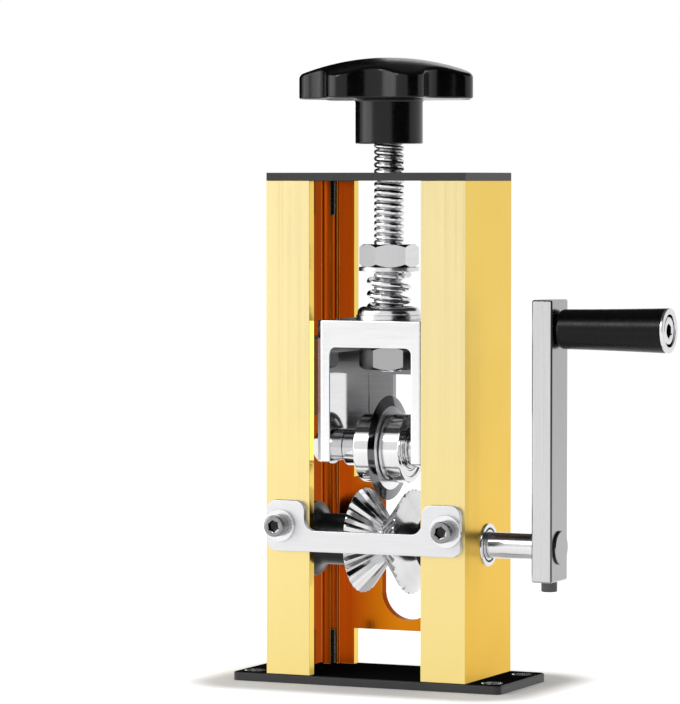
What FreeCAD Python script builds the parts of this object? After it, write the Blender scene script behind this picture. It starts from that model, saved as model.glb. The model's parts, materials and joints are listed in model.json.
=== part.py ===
import FreeCAD, Part
import math
import os

# Hand crank wire stripper. All sizes are in millimetres.
# X runs along the crank shaft towards the crank, -Y is the front where the cable goes in, +Z is up.
# The origin is the middle of the base plate's underside.

Vector = FreeCAD.Vector

# Clearances
running_clearance = 0.05    # radial, a shaft that turns in its hole
loose_clearance = 0.5       # radial, a screw that passes through a hole
seat_gap = 0.2              # between faces of pieces that move past each other
slide_clearance = 0.2       # each side of the sliding carriage

# Frame, one aluminium extrusion open at the front
frame_width = 100.0
frame_depth = 55.0
frame_height = 229.0
frame_wall = 5.0
front_slot_width = 56.0
rear_window_width = 56.0
rear_window_sill = 93.0     # above the base plate's underside
wheel_slot_width = 27.0
wheel_slot_bottom = 26.0
lower_window_height = 17.0
port_boss_radius = 4.0
port_inset_x = 5.3          # from the side wall's inner face to the screw port's centre
port_inset_y = 0.7
port_mouth = 3.4

# Base plate and its bench screw holes
base_overhang_x = 17.5      # past the frame, each side
base_overhang_y = 1.0
base_thickness = 4.0
base_corner_radius = 3.0
base_edge_chamfer = 0.5
base_hole_inset_x = 7.5     # from the plate's edge to the bench screw's centre
base_hole_inset_y = 10.0
base_hole_radius = 2.75
base_countersink_radius = 5.2

# Top plate
top_plate_thickness = 3.7

# Countersunk screws that hold both plates to the frame's screw ports
plate_screw_radius = 2.0
plate_screw_head_radius = 4.0
plate_screw_length = 20.0
plate_screw_hex = 2.5
plate_screw_hex_depth = 1.5

# Guide bar at the front, below the cable's way
guide_bar_margin = 1.4      # from the frame's edge to the bar's end
guide_bar_thickness = 2.5
guide_bar_bottom = 61.7
guide_bar_rail_height = 9.8
guide_bar_ear_width = 19.0
guide_bar_ear_top = 85.2
guide_bar_outer_radius = 4.5
guide_bar_inner_radius = 5.5
guide_screw_inset = 6.7     # from the bar's end to the screw
guide_screw_height = 73.6
guide_screw_radius = 3.0
guide_screw_head_radius = 5.0
guide_screw_head_height = 6.0
guide_screw_hex = 5.0
guide_screw_hex_depth = 3.0
guide_screw_length = 8.0
guide_washer_radius = 7.6
guide_washer_thickness = 1.6

# Drive shaft and its two flanged ball bearings in the side walls
drive_height = 65.4
shaft_radius = 6.0
shaft_overhang = 6.5        # past the left wall
shaft_head_radius = 7.75
shaft_head_height = 1.2
wall_bearing_radius = 9.0
wall_bearing_width = 4.0
wall_bearing_flange_radius = 9.9
wall_bearing_flange = 0.8
wall_bearing_inner_radius = 7.1
wall_bearing_outer_bore = 8.0
wall_ball_radius = 0.75
wall_ball_count = 14
clip_radius = 8.4
clip_thickness = 1.2
clip_groove_depth = 0.5
clip_mouth = 8.0

# Feed wheels: two toothed cones that make a V, on one key
wheel_rim_radius = 24.4
wheel_root_radius = 9.7
wheel_face_width = 11.7
wheel_rim_width = 0.8
wheel_hub_radius = 12.0
wheel_width = 18.5
wheel_tooth_count = 36
tooth_depth_rim = 1.5
tooth_depth_root = 0.5
tooth_land = 0.25
tooth_overrun = 0.08        # how far a groove runs past root and rim, as a share of the radius there
key_width = 4.0
key_height = 4.0
key_depth = 2.5             # how deep the key sits in the shaft
key_length = 36.0

# Black collars between the wheels and the side walls
collar_radius = 12.0
collar_wall_gap = 2.4       # from the flange to the side wall's inner face
collar_flare_radius = 5.4
collar_flange_thickness = 6.2
collar_nose_radius = 7.0
collar_rim_chamfer = 0.8

# Crank
crank_radius = 100.0
arm_gap = 24.5              # from the side wall's bearing flange to the arm
arm_thickness = 10.0
arm_width = 20.0
arm_below_shaft = 15.6
arm_above_handle = 13.4
arm_edge_chamfer = 0.7
clamp_screw_radius = 2.5
clamp_screw_head_radius = 3.75
clamp_screw_head_height = 4.8
clamp_screw_hex = 3.0
clamp_screw_hex_depth = 2.5

# Handle
grip_length = 53.0
grip_radius_arm = 9.1
grip_radius_end = 10.2
grip_shoulder_radius = 2.5
grip_well_radius = 7.4
grip_ring_thickness = 1.4
grip_ring_radius = 10.3
handle_bolt_radius = 4.0
handle_bolt_head_radius = 6.5
handle_bolt_head_height = 8.0
handle_bolt_hex = 6.0
handle_bolt_hex_depth = 4.0
handle_bolt_recess = 0.3    # from the grip's end to the bolt's head

# Adjusting screw, a trapezoidal thread with a left-hand lead of 3 mm, and its nuts
screw_radius = 7.0
screw_tail = 1.0            # past the lower nut
nut_across_flats = 24.0
nut_height = 10.5
nut_corner_chamfer = 1.3
nut_turn_upper = 26.9       # degrees about Z
nut_turn_lower = 21.6

# Star knob
knob_gap = 13.4             # from the top plate to the knob's hub
knob_hub_radius = 15.65
knob_hub_height = 20.6
knob_lobe_count = 7
knob_radius = 41.7
knob_lobe_radius = 9.0
knob_waist_radius = 33.5
knob_rim_height = 11.2
knob_dome_height = 8.1
knob_turn = -1.1            # degrees about Z, where one lobe points
knob_socket_depth = 24.0

# Pressure spring, its washers and its cup
spring_wire = 3.0
spring_outer_diameter = 20.7
spring_pitch = 5.72
spring_height = 19.4
spring_start_angle = 15.0   # degrees about Z, where the top end of the wire lies
spring_end_gap = 0.02
upper_washer_radius = 14.05
upper_washer_thickness = 2.0
cup_radius = 14.7
cup_height = 3.8
cup_floor = 0.8
cup_edge_radius = 3.0
cup_well_radius = 10.8
seat_washer_radius = 15.25
seat_washer_thickness = 2.3

# Carriage that holds the blade
carriage_front_gap = 0.8    # behind the front flanges
carriage_rear_gap = 0.2     # in front of the frame's rear face
carriage_height = 65.5
carriage_web = 12.5
carriage_window_width = 40.8
carriage_window_radius = 3.0
carriage_edge_chamfer = 3.0
carriage_rear_wall = 4.3
carriage_rear_slot_width = 16.6
carriage_rear_slot_height = 38.9
carriage_below_axle = 5.8
guide_ear_bottom = 21.0     # above the carriage's lower edge
guide_ear_height = 36.0
guide_ear_gap = 0.4         # from the ear to the screw ports

# Blade and its axle
cable_gap = 9.3             # from the blade's edge to the bottom of the wheels' V at rest
blade_radius = 24.4
blade_thickness = 2.4
blade_bevel = 5.0
blade_edge_thickness = 0.3
axle_radius = 4.0
axle_head_radius = 6.5
axle_head_height = 8.0
axle_hex = 6.0
axle_hex_depth = 4.0
axle_nut_across_flats = 13.0
axle_nut_height = 6.5
axle_tail = 1.5
axle_washer_radius = 8.0
axle_washer_thickness = 1.6
sleeve_radius = 6.0
spacer_radius = 8.6

# Ball bearings either side of the blade
blade_side_gap = 0.3
roller_radius = 16.0
roller_width = 10.0
roller_edge_radius = 0.8
roller_inner_land = 9.15
roller_outer_land = 12.9
roller_ball_radius = 2.95
roller_ball_count = 7
groove_clearance = 0.06
cage_inner_radius = 10.2
cage_outer_radius = 11.8
cage_width = 7.4
shield_thickness = 0.5
shield_inset = 0.35

# Heights that follow from the sizes above
frame_bottom = base_thickness
frame_top = frame_bottom + frame_height
top_plate_top = frame_top + top_plate_thickness
half_width = frame_width / 2
half_depth = frame_depth / 2
base_x = half_width + base_overhang_x
base_y = half_depth + base_overhang_y
guide_bar_x = half_width - guide_bar_margin
cavity_x = half_width - frame_wall
cavity_y = half_depth - frame_wall
port_x = cavity_x - port_inset_x
port_y = cavity_y - port_inset_y
blade_height = drive_height + wheel_root_radius + cable_gap + blade_radius
carriage_bottom = blade_height - carriage_below_axle
carriage_top = carriage_bottom + carriage_height
window_top = carriage_top - carriage_web
carriage_x = front_slot_width / 2 - slide_clearance
carriage_front = -(cavity_y - carriage_front_gap)
carriage_rear = half_depth - carriage_rear_gap
window_x = carriage_window_width / 2
lower_nut_bottom = window_top - nut_height
seat_washer_top = carriage_top + seat_washer_thickness
cup_top = seat_washer_top + cup_height
spring_bottom = seat_washer_top + cup_floor
spring_top = spring_bottom + spring_height
upper_washer_top = spring_top + upper_washer_thickness
upper_nut_top = upper_washer_top + nut_height
hub_bottom = top_plate_top + knob_gap
hub_top = hub_bottom + knob_hub_height
arm_inner = half_width + wall_bearing_flange + arm_gap
arm_outer = arm_inner + arm_thickness
handle_height = drive_height + crank_radius
roller_start = blade_thickness / 2 + blade_side_gap
roller_end = roller_start + roller_width
screw_hole_radius = screw_radius + loose_clearance


def box(x0, x1, y0, y1, z0, z1):
    return Part.makeBox(x1 - x0, y1 - y0, z1 - z0, Vector(x0, y0, z0))


def rod_x(radius, x0, x1, y=0.0, z=0.0):
    return Part.makeCylinder(radius, x1 - x0, Vector(x0, y, z), Vector(1, 0, 0))


def rod_y(radius, y0, y1, x=0.0, z=0.0):
    return Part.makeCylinder(radius, y1 - y0, Vector(x, y0, z), Vector(0, 1, 0))


def rod_z(radius, z0, z1, x=0.0, y=0.0):
    return Part.makeCylinder(radius, z1 - z0, Vector(x, y, z0), Vector(0, 0, 1))


def cone_z(radius0, radius1, z0, z1, x=0.0, y=0.0):
    return Part.makeCone(radius0, radius1, z1 - z0, Vector(x, y, z0), Vector(0, 0, 1))


def prism_z(points, z0, z1):
    """A straight-sided solid over an outline of (x, y) points."""
    corners = [Vector(x, y, z0) for x, y in points]
    face = Part.Face(Part.makePolygon(corners + corners[:1]))
    return face.extrude(Vector(0, 0, z1 - z0))


def turned_x(points, height=0.0):
    """A solid turned about the X axis at that height, from (x, radius) points."""
    corners = [Vector(x, 0, radius) for x, radius in points]
    face = Part.Face(Part.makePolygon(corners + corners[:1]))
    solid = face.revolve(Vector(0, 0, 0), Vector(1, 0, 0), 360)
    solid.translate(Vector(0, 0, height))
    return solid


def mirrored(shape):
    """The same piece on the other side of the middle plane X = 0."""
    return shape.mirror(Vector(0, 0, 0), Vector(1, 0, 0))


def edges_at(shape, test):
    return [edge for edge in shape.Edges if test(edge.BoundBox)]


def hexagon_z(across_flats, z0, z1, turn=0.0):
    """A hexagonal prism on the Z axis. At no turn a flat faces -Y."""
    corner = across_flats / math.sqrt(3)
    angles = [math.radians(turn + 60 * i) for i in range(6)]
    return prism_z([(corner * math.cos(a), corner * math.sin(a)) for a in angles], z0, z1)


def hex_nut_z(across_flats, bore, z0, z1, turn, chamfer):
    """A hexagon nut on the Z axis, its corners turned off at both ends."""
    corner = across_flats / math.sqrt(3)
    flat = across_flats / 2
    drop = (corner - flat) / math.tan(math.radians(60)) * chamfer
    body = hexagon_z(across_flats, z0, z1, turn)
    profile = [Vector(0, 0, z0), Vector(flat, 0, z0), Vector(corner, 0, z0 + drop)]
    profile += [Vector(corner, 0, z1 - drop), Vector(flat, 0, z1), Vector(0, 0, z1)]
    blank = Part.Face(Part.makePolygon(profile + profile[:1]))
    blank = blank.revolve(Vector(0, 0, 0), Vector(0, 0, 1), 360)
    return body.common(blank).cut(rod_z(bore, z0, z1))


def socket_screw_z(radius, length, head_radius, head_height, hex_size, hex_depth):
    """A socket head screw standing on the Z axis: its head on top, the head's underside at zero."""
    screw = rod_z(radius, -length, 0).fuse(rod_z(head_radius, 0, head_height))
    socket = hexagon_z(hex_size, head_height - hex_depth, head_height)
    return screw.cut(socket).removeSplitter()


def countersunk_screw_z(hole_floor):
    """A countersunk socket screw pointing down, its flat head's top at zero, shorter than the hole."""
    head = cone_z(plate_screw_radius, plate_screw_head_radius,
                  plate_screw_radius - plate_screw_head_radius, 0)
    shank = rod_z(plate_screw_radius, -hole_floor, plate_screw_radius - plate_screw_head_radius)
    socket = hexagon_z(plate_screw_hex, -plate_screw_hex_depth, 0)
    return head.fuse(shank).cut(socket).removeSplitter()


def countersunk_hole_z(radius, top_radius, z_top, z_bottom, x, y, up=1):
    """The tool for a countersunk hole; up is 1 where the wide end is on top."""
    sink = top_radius - radius
    if up > 0:
        cone = cone_z(radius, top_radius, z_top - sink, z_top, x, y)
    else:
        cone = cone_z(top_radius, radius, z_bottom, z_bottom + sink, x, y)
    return rod_z(radius, z_bottom, z_top, x, y).fuse(cone)


def port_centres():
    return [(sx * port_x, sy * port_y, sx, sy) for sx in (-1, 1) for sy in (-1, 1)]


def bench_hole_centres():
    x = base_x - base_hole_inset_x
    y = base_y - base_hole_inset_y
    return [(sx * x, sy * y) for sx in (-1, 1) for sy in (-1, 1)]


def screw_port(x, y, side_x, side_y):
    """One screw port: a round boss along the extrusion, open towards the middle."""
    boss = rod_z(port_boss_radius, frame_bottom, frame_top, x, y)
    hole = rod_z(plate_screw_radius + running_clearance, frame_bottom, frame_top, x, y)
    mouth = box(0, 2 * port_boss_radius, -port_mouth / 2, port_mouth / 2, frame_bottom, frame_top)
    inward = math.degrees(math.atan2(-side_y, -side_x))
    mouth.rotate(Vector(0, 0, 0), Vector(0, 0, 1), inward)
    mouth.translate(Vector(x, y, 0))
    return boss, hole.fuse(mouth)


def frame_extrusion():
    body = box(-half_width, half_width, -half_depth, half_depth, frame_bottom, frame_top)
    cavity = box(-cavity_x, cavity_x, -cavity_y, cavity_y, frame_bottom, frame_top)
    slot_x = front_slot_width / 2
    body = body.cut(cavity)
    body = body.cut(box(-slot_x, slot_x, -half_depth, 0, frame_bottom, frame_top))
    for x, y, side_x, side_y in port_centres():
        boss, hollow = screw_port(x, y, side_x, side_y)
        body = body.fuse(boss.common(cavity))
        body = body.cut(hollow)
    window_half = rear_window_width / 2
    wheel_half = wheel_slot_width / 2
    body = body.cut(box(-window_half, window_half, 0, half_depth, rear_window_sill, frame_top))
    arc_centre = wheel_slot_bottom + wheel_half
    body = body.cut(box(-wheel_half, wheel_half, 0, half_depth, arc_centre, rear_window_sill))
    body = body.cut(rod_y(wheel_half, 0, half_depth, 0, arc_centre))
    lower_top = frame_bottom + lower_window_height
    body = body.cut(box(-window_half, window_half, 0, half_depth, frame_bottom, lower_top))
    bearing_hole = rod_x(wall_bearing_radius, -half_width, half_width, 0, drive_height)
    body = body.cut(bearing_hole)
    hole_end = -half_depth + guide_screw_reach() + loose_clearance
    for side in (-1, 1):
        hole = rod_y(guide_screw_radius + running_clearance, -half_depth, hole_end,
                     side * guide_screw_x(), guide_screw_height)
        body = body.cut(hole)
    return body.removeSplitter()


def base_plate():
    plate = box(-base_x, base_x, -base_y, base_y, 0, base_thickness)
    upright = edges_at(plate, lambda b: b.ZLength > base_thickness / 2)
    plate = plate.makeFillet(base_corner_radius, upright)
    rim = edges_at(plate, lambda b: b.ZMin > base_thickness / 2)
    plate = plate.makeChamfer(base_edge_chamfer, rim)
    for hx, hy in bench_hole_centres():
        tool = countersunk_hole_z(base_hole_radius, base_countersink_radius,
                                  base_thickness, 0, hx, hy)
        plate = plate.cut(tool)
    for px, py, _, _ in port_centres():
        tool = countersunk_hole_z(plate_screw_radius + running_clearance,
                                  plate_screw_head_radius + running_clearance,
                                  base_thickness, 0, px, py, up=-1)
        plate = plate.cut(tool)
    return plate


def top_plate():
    plate = box(-half_width, half_width, -half_depth, half_depth, frame_top, top_plate_top)
    plate = plate.cut(rod_z(screw_radius + running_clearance, frame_top, top_plate_top))
    for px, py, _, _ in port_centres():
        tool = countersunk_hole_z(plate_screw_radius + running_clearance,
                                  plate_screw_head_radius + running_clearance,
                                  top_plate_top, frame_top, px, py)
        plate = plate.cut(tool)
    return plate


def top_plate_screws():
    screws = []
    for px, py, _, _ in port_centres():
        screw = countersunk_screw_z(plate_screw_length)
        screw.translate(Vector(px, py, top_plate_top))
        screws.append(screw)
    return Part.makeCompound(screws)


def base_plate_screws():
    screws = []
    for px, py, _, _ in port_centres():
        screw = countersunk_screw_z(plate_screw_length)
        screw.rotate(Vector(0, 0, 0), Vector(1, 0, 0), 180)
        screw.translate(Vector(px, py, 0))
        screws.append(screw)
    return Part.makeCompound(screws)


def guide_screw_x():
    return guide_bar_x - guide_screw_inset


def guide_screw_reach():
    """How far the guide bar's screws reach into the front flanges."""
    return guide_screw_length - guide_washer_thickness - guide_bar_thickness


def guide_bar():
    """A flat bar with a taller ear at each end, round corners outside and in."""
    outer = guide_bar_x
    rail_top = guide_bar_bottom + guide_bar_rail_height
    back = -half_depth
    front = back - guide_bar_thickness
    bar = box(-outer, outer, front, back, guide_bar_bottom, rail_top)
    for side in (-1, 1):
        x0, x1 = sorted((side * outer, side * (outer - guide_bar_ear_width)))
        bar = bar.fuse(box(x0, x1, front, back, guide_bar_bottom, guide_bar_ear_top))
    bar = bar.removeSplitter()
    inner = outer - guide_bar_ear_width
    near = 0.01

    def inside_corner(b):
        return abs(abs(b.XMin) - inner) < near and abs(b.ZMin - rail_top) < near

    through = guide_bar_thickness / 2
    outside = edges_at(bar, lambda b: b.YLength > through and not inside_corner(b))
    bar = bar.makeFillet(guide_bar_outer_radius, outside)
    inside = edges_at(bar, lambda b: b.YLength > through and inside_corner(b))
    bar = bar.makeFillet(guide_bar_inner_radius, inside)
    for side in (-1, 1):
        bar = bar.cut(rod_y(guide_screw_radius + running_clearance, front, back,
                            side * guide_screw_x(), guide_screw_height))
    return bar


def guide_bar_washers():
    back = -half_depth - guide_bar_thickness
    front = back - guide_washer_thickness
    washers = []
    for side in (-1, 1):
        x = side * guide_screw_x()
        washer = rod_y(guide_washer_radius, front, back, x, guide_screw_height)
        hole = rod_y(guide_screw_radius + running_clearance, front, back, x, guide_screw_height)
        washers.append(washer.cut(hole))
    return Part.makeCompound(washers)


def guide_bar_screws():
    head_back = -half_depth - guide_bar_thickness - guide_washer_thickness
    screws = []
    for side in (-1, 1):
        screw = socket_screw_z(guide_screw_radius, guide_screw_length, guide_screw_head_radius,
                               guide_screw_head_height, guide_screw_hex, guide_screw_hex_depth)
        screw.rotate(Vector(0, 0, 0), Vector(0, 0, 1), 30)
        screw.rotate(Vector(0, 0, 0), Vector(1, 0, 0), 90)
        screw.translate(Vector(side * guide_screw_x(), head_back, guide_screw_height))
        screws.append(screw)
    return Part.makeCompound(screws)


def ball_groove(pitch_radius, ball_radius, x):
    ring = Part.makeTorus(pitch_radius, ball_radius + groove_clearance,
                          Vector(0, 0, 0), Vector(1, 0, 0))
    ring.translate(Vector(x, 0, 0))
    return ring


def ball_ring(pitch_radius, ball_radius, count, x):
    balls = []
    for i in range(count):
        angle = 2 * math.pi * i / count
        centre = Vector(x, pitch_radius * math.sin(angle), pitch_radius * math.cos(angle))
        balls.append(Part.makeSphere(ball_radius, centre))
    return balls


def wall_bearing_pitch():
    return (wall_bearing_inner_radius + wall_bearing_outer_bore) / 2


def wall_bearing_outer():
    """Right side: outer ring with a flange that lies on the outside of the wall."""
    x1 = half_width
    x0 = x1 - wall_bearing_width
    flange_x = x1 + wall_bearing_flange
    profile = [(x0, wall_bearing_outer_bore), (x0, wall_bearing_radius), (x1, wall_bearing_radius)]
    profile += [(x1, wall_bearing_flange_radius), (flange_x, wall_bearing_flange_radius)]
    profile += [(flange_x, wall_bearing_outer_bore)]
    ring = turned_x(profile)
    ring = ring.cut(ball_groove(wall_bearing_pitch(), wall_ball_radius, (x0 + x1) / 2))
    ring.translate(Vector(0, 0, drive_height))
    return ring


def wall_bearing_inner():
    x1 = half_width + wall_bearing_flange
    x0 = half_width - wall_bearing_width
    ring = turned_x([(x0, shaft_radius + running_clearance), (x0, wall_bearing_inner_radius),
                     (x1, wall_bearing_inner_radius), (x1, shaft_radius + running_clearance)])
    groove_x = half_width - wall_bearing_width / 2
    ring = ring.cut(ball_groove(wall_bearing_pitch(), wall_ball_radius, groove_x))
    ring.translate(Vector(0, 0, drive_height))
    return ring


def wall_bearing_balls():
    x = half_width - wall_bearing_width / 2
    balls = Part.makeCompound(ball_ring(wall_bearing_pitch(), wall_ball_radius, wall_ball_count, x))
    balls.translate(Vector(0, 0, drive_height))
    return balls


def clip_groove_start():
    """Distance from the middle plane to the clip's groove on the shaft's left end."""
    return half_width + wall_bearing_flange + running_clearance


def key_slot(radius0, radius1, half_length):
    """The space above the shaft's axis that the key fills, between two radii."""
    half = key_width / 2
    return box(-half_length, half_length, -half, half, radius0, radius1)


def drive_shaft():
    left = -(half_width + shaft_overhang)
    shaft = rod_x(shaft_radius, left, arm_outer).fuse(
        rod_x(shaft_head_radius, arm_outer, arm_outer + shaft_head_height))
    groove_x = clip_groove_start()
    groove = rod_x(shaft_radius, -groove_x - clip_thickness - running_clearance, -groove_x)
    groove = groove.cut(rod_x(shaft_radius - clip_groove_depth,
                              -groove_x - clip_thickness - running_clearance, -groove_x))
    shaft = shaft.cut(groove)
    shaft = shaft.cut(key_slot(shaft_radius - key_depth, shaft_radius, key_length / 2))
    shaft = shaft.removeSplitter()
    shaft.translate(Vector(0, 0, drive_height))
    return shaft


def shaft_clip():
    """An open retaining ring in the groove at the shaft's left end."""
    x1 = -clip_groove_start()
    x0 = x1 - clip_thickness
    inner = shaft_radius - clip_groove_depth + running_clearance
    ring = rod_x(clip_radius, x0, x1).cut(rod_x(inner, x0, x1))
    ring = ring.cut(box(x0, x1, -clip_mouth / 2, clip_mouth / 2, -clip_radius, 0))
    ring.translate(Vector(0, 0, drive_height))
    return ring


def wheel_key():
    bottom = shaft_radius - key_depth
    key = key_slot(bottom, bottom + key_height, key_length / 2)
    key.translate(Vector(0, 0, drive_height))
    return key


def tooth_gap():
    """One V-shaped groove along the wheel's inner cone, from its root to past its rim, at the top."""
    slope = (wheel_rim_radius - wheel_root_radius) / wheel_face_width
    sections = []
    for radius, depth in ((wheel_root_radius * (1 - tooth_overrun), tooth_depth_root),
                          (wheel_rim_radius * (1 + tooth_overrun), tooth_depth_rim)):
        half = math.pi * radius / wheel_tooth_count - tooth_land / 2
        x = (radius - wheel_root_radius) / slope
        length = math.hypot(1, slope)
        into = Vector(slope / length, 0, -1 / length)
        top = Vector(x, 0, radius) - into * depth
        floor = Vector(x, 0, radius) + into * depth
        rise = Vector(0, 2 * half, 0)
        sections.append(Part.makePolygon([floor, top - rise, top + rise, floor]))
    return Part.makeLoft(sections, True, True)


def feed_wheel():
    """The right feed wheel: its toothed cone faces the middle plane, its back slopes to the hub."""
    bore = shaft_radius + running_clearance
    rim_end = wheel_face_width + wheel_rim_width
    wheel = turned_x([(0, bore), (0, wheel_root_radius), (wheel_face_width, wheel_rim_radius),
                      (rim_end, wheel_rim_radius), (wheel_width, wheel_hub_radius),
                      (wheel_width, bore)])
    gap = tooth_gap()
    gaps = []
    for i in range(wheel_tooth_count):
        one = gap.copy()
        one.rotate(Vector(0, 0, 0), Vector(1, 0, 0), 360.0 * (i + 0.5) / wheel_tooth_count)
        gaps.append(one)
    wheel = wheel.cut(Part.makeCompound(gaps))
    top = shaft_radius - key_depth + key_height + running_clearance
    wheel = wheel.cut(key_slot(0, top, wheel_width))
    wheel.translate(Vector(0, 0, drive_height))
    return wheel


def shaft_collar():
    """The right collar: a plain barrel that flares to a flange near the wall, with a nose at the bearing."""
    x0 = wheel_width
    x3 = cavity_x - collar_wall_gap
    x2 = x3 - collar_flange_thickness
    x1 = x2 - collar_flare_radius
    x4 = half_width - wall_bearing_width
    bore = shaft_radius + running_clearance
    rim = collar_radius + collar_flare_radius
    chamfer = collar_rim_chamfer
    middle = math.radians(45)
    arc = Part.Arc(Vector(x1, 0, collar_radius),
                   Vector(x1 + collar_flare_radius * math.sin(middle), 0,
                          rim - collar_flare_radius * math.cos(middle)),
                   Vector(x2, 0, rim)).toShape()
    corners = [(x2, rim), (x3 - chamfer, rim), (x3, rim - chamfer), (x3, collar_nose_radius),
               (x4, collar_nose_radius), (x4, bore), (x0, bore), (x0, collar_radius),
               (x1, collar_radius)]
    points = [Vector(x, 0, radius) for x, radius in corners]
    lines = [Part.LineSegment(a, b).toShape() for a, b in zip(points, points[1:])]
    face = Part.Face(Part.Wire([arc] + lines))
    collar = face.revolve(Vector(0, 0, 0), Vector(1, 0, 0), 360)
    collar.translate(Vector(0, 0, drive_height))
    return collar


def clamp_screw_length():
    return arm_below_shaft - shaft_radius


def crank_arm():
    half = arm_width / 2
    bottom = drive_height - arm_below_shaft
    top = handle_height + arm_above_handle
    arm = box(arm_inner, arm_outer, -half, half, bottom, top)
    arm = arm.makeChamfer(arm_edge_chamfer, arm.Edges)
    bore = shaft_radius + running_clearance
    arm = arm.cut(rod_x(bore, arm_inner, arm_outer, 0, drive_height))
    arm = arm.cut(rod_x(handle_bolt_radius + running_clearance, arm_inner, arm_outer,
                        0, handle_height))
    middle = (arm_inner + arm_outer) / 2
    hole = rod_z(clamp_screw_radius + running_clearance, bottom, drive_height, middle)
    return arm.cut(hole)


def arm_clamp_screw():
    screw = socket_screw_z(clamp_screw_radius, clamp_screw_length() - running_clearance,
                           clamp_screw_head_radius, clamp_screw_head_height,
                           clamp_screw_hex, clamp_screw_hex_depth)
    screw.rotate(Vector(0, 0, 0), Vector(1, 0, 0), 180)
    middle = (arm_inner + arm_outer) / 2
    screw.translate(Vector(middle, 0, drive_height - arm_below_shaft))
    return screw


def grip_start():
    return arm_outer + seat_gap


def grip_end():
    return grip_start() + grip_length


def handle_bolt_head_x():
    """Where the underside of the handle bolt's head lies."""
    return grip_end() - handle_bolt_recess - handle_bolt_head_height


def handle_bolt():
    length = handle_bolt_head_x() - arm_inner
    bolt = socket_screw_z(handle_bolt_radius, length, handle_bolt_head_radius,
                          handle_bolt_head_height, handle_bolt_hex, handle_bolt_hex_depth)
    bolt.rotate(Vector(0, 0, 0), Vector(0, 1, 0), 90)
    bolt.translate(Vector(handle_bolt_head_x(), 0, handle_height))
    return bolt


def handle_grip():
    """A slightly flared handle that turns on its bolt, with a well for the bolt's head."""
    x0 = grip_start()
    x1 = grip_end() - grip_ring_thickness
    well = handle_bolt_head_x() - seat_gap
    bore = handle_bolt_radius + running_clearance
    grip = turned_x([(x0, bore), (x0, grip_radius_arm), (x1, grip_radius_end),
                     (x1, grip_well_radius), (well, grip_well_radius), (well, bore)])
    near = 0.01
    shoulder = edges_at(grip, lambda b: b.XMax < x0 + near and b.ZLength > grip_radius_arm)
    grip = grip.makeFillet(grip_shoulder_radius, shoulder)
    grip.translate(Vector(0, 0, handle_height))
    return grip


def grip_end_ring():
    x0 = grip_end() - grip_ring_thickness
    x1 = grip_end()
    ring = rod_x(grip_ring_radius, x0, x1).cut(rod_x(grip_well_radius, x0, x1))
    near = 0.01
    rim = edges_at(ring, lambda b: b.XMin > x1 - near and b.ZLength > 2 * grip_well_radius + near)
    ring = ring.makeChamfer(grip_ring_thickness / 3, rim)
    ring.translate(Vector(0, 0, handle_height))
    return ring


def adjusting_screw():
    bottom = lower_nut_bottom - screw_tail
    return rod_z(screw_radius, bottom, hub_bottom + knob_socket_depth)


def upper_nut():
    return hex_nut_z(nut_across_flats, screw_radius + running_clearance,
                     upper_washer_top, upper_nut_top, nut_turn_upper, nut_corner_chamfer)


def lower_nut():
    return hex_nut_z(nut_across_flats, screw_radius + running_clearance,
                     lower_nut_bottom, window_top, nut_turn_lower, nut_corner_chamfer)


def star_outline(z):
    """The knob's outline: round lobes joined by hollow waists, each arc tangent to the next."""
    step = 2 * math.pi / knob_lobe_count
    lobe_r = knob_lobe_radius
    lobe_c = knob_radius - lobe_r
    waist = knob_waist_radius
    cosine = math.cos(step / 2)
    known = lobe_c ** 2 + waist ** 2 - 2 * lobe_c * waist * cosine - lobe_r ** 2
    hollow_r = known / (2 * (lobe_r + lobe_c * cosine - waist))
    hollow_c = waist + hollow_r

    def at(radius, angle):
        return Vector(radius * math.cos(angle), radius * math.sin(angle), z)

    def joint(lobe_angle, hollow_angle):
        a = at(lobe_c, lobe_angle)
        b = at(hollow_c, hollow_angle)
        return a + (b - a) * (lobe_r / (lobe_r + hollow_r))

    edges = []
    for i in range(knob_lobe_count):
        lobe = math.radians(knob_turn) + i * step
        before = joint(lobe, lobe - step / 2)
        after = joint(lobe, lobe + step / 2)
        following = joint(lobe + step, lobe + step / 2)
        edges.append(Part.Arc(before, at(knob_radius, lobe), after).toShape())
        edges.append(Part.Arc(after, at(waist, lobe + step / 2), following).toShape())
    return Part.Wire(edges)


def star_knob():
    """A star with a domed top and a round hub below; the screw's end sits in its socket."""
    rim_top = hub_top + knob_rim_height
    dome_top = rim_top + knob_dome_height
    dome_radius = (knob_radius ** 2 + knob_dome_height ** 2) / (2 * knob_dome_height)
    star = Part.Face(star_outline(hub_top)).extrude(Vector(0, 0, dome_top - hub_top))
    dome = Part.makeSphere(dome_radius, Vector(0, 0, dome_top - dome_radius))
    star = star.common(dome)
    knob = star.fuse(rod_z(knob_hub_radius, hub_bottom, hub_top)).removeSplitter()
    socket = rod_z(screw_radius + running_clearance, hub_bottom, hub_bottom + knob_socket_depth)
    return knob.cut(socket)


def upper_washer():
    ring = rod_z(upper_washer_radius, spring_top, upper_washer_top)
    return ring.cut(rod_z(screw_radius + running_clearance, spring_top, upper_washer_top))


def seat_washer():
    ring = rod_z(seat_washer_radius, carriage_top, seat_washer_top)
    return ring.cut(rod_z(screw_hole_radius, carriage_top, seat_washer_top))


def spring_cup():
    """A shallow cup with a rounded rim that keeps the spring on the screw's axis."""
    cup = rod_z(cup_radius, seat_washer_top, cup_top)
    near = 0.01
    rim = edges_at(cup, lambda b: b.ZMin > cup_top - near)
    cup = cup.makeFillet(cup_edge_radius, rim)
    cup = cup.cut(rod_z(cup_well_radius, seat_washer_top + cup_floor, cup_top))
    return cup.cut(rod_z(screw_hole_radius, seat_washer_top, cup_top))


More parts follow.
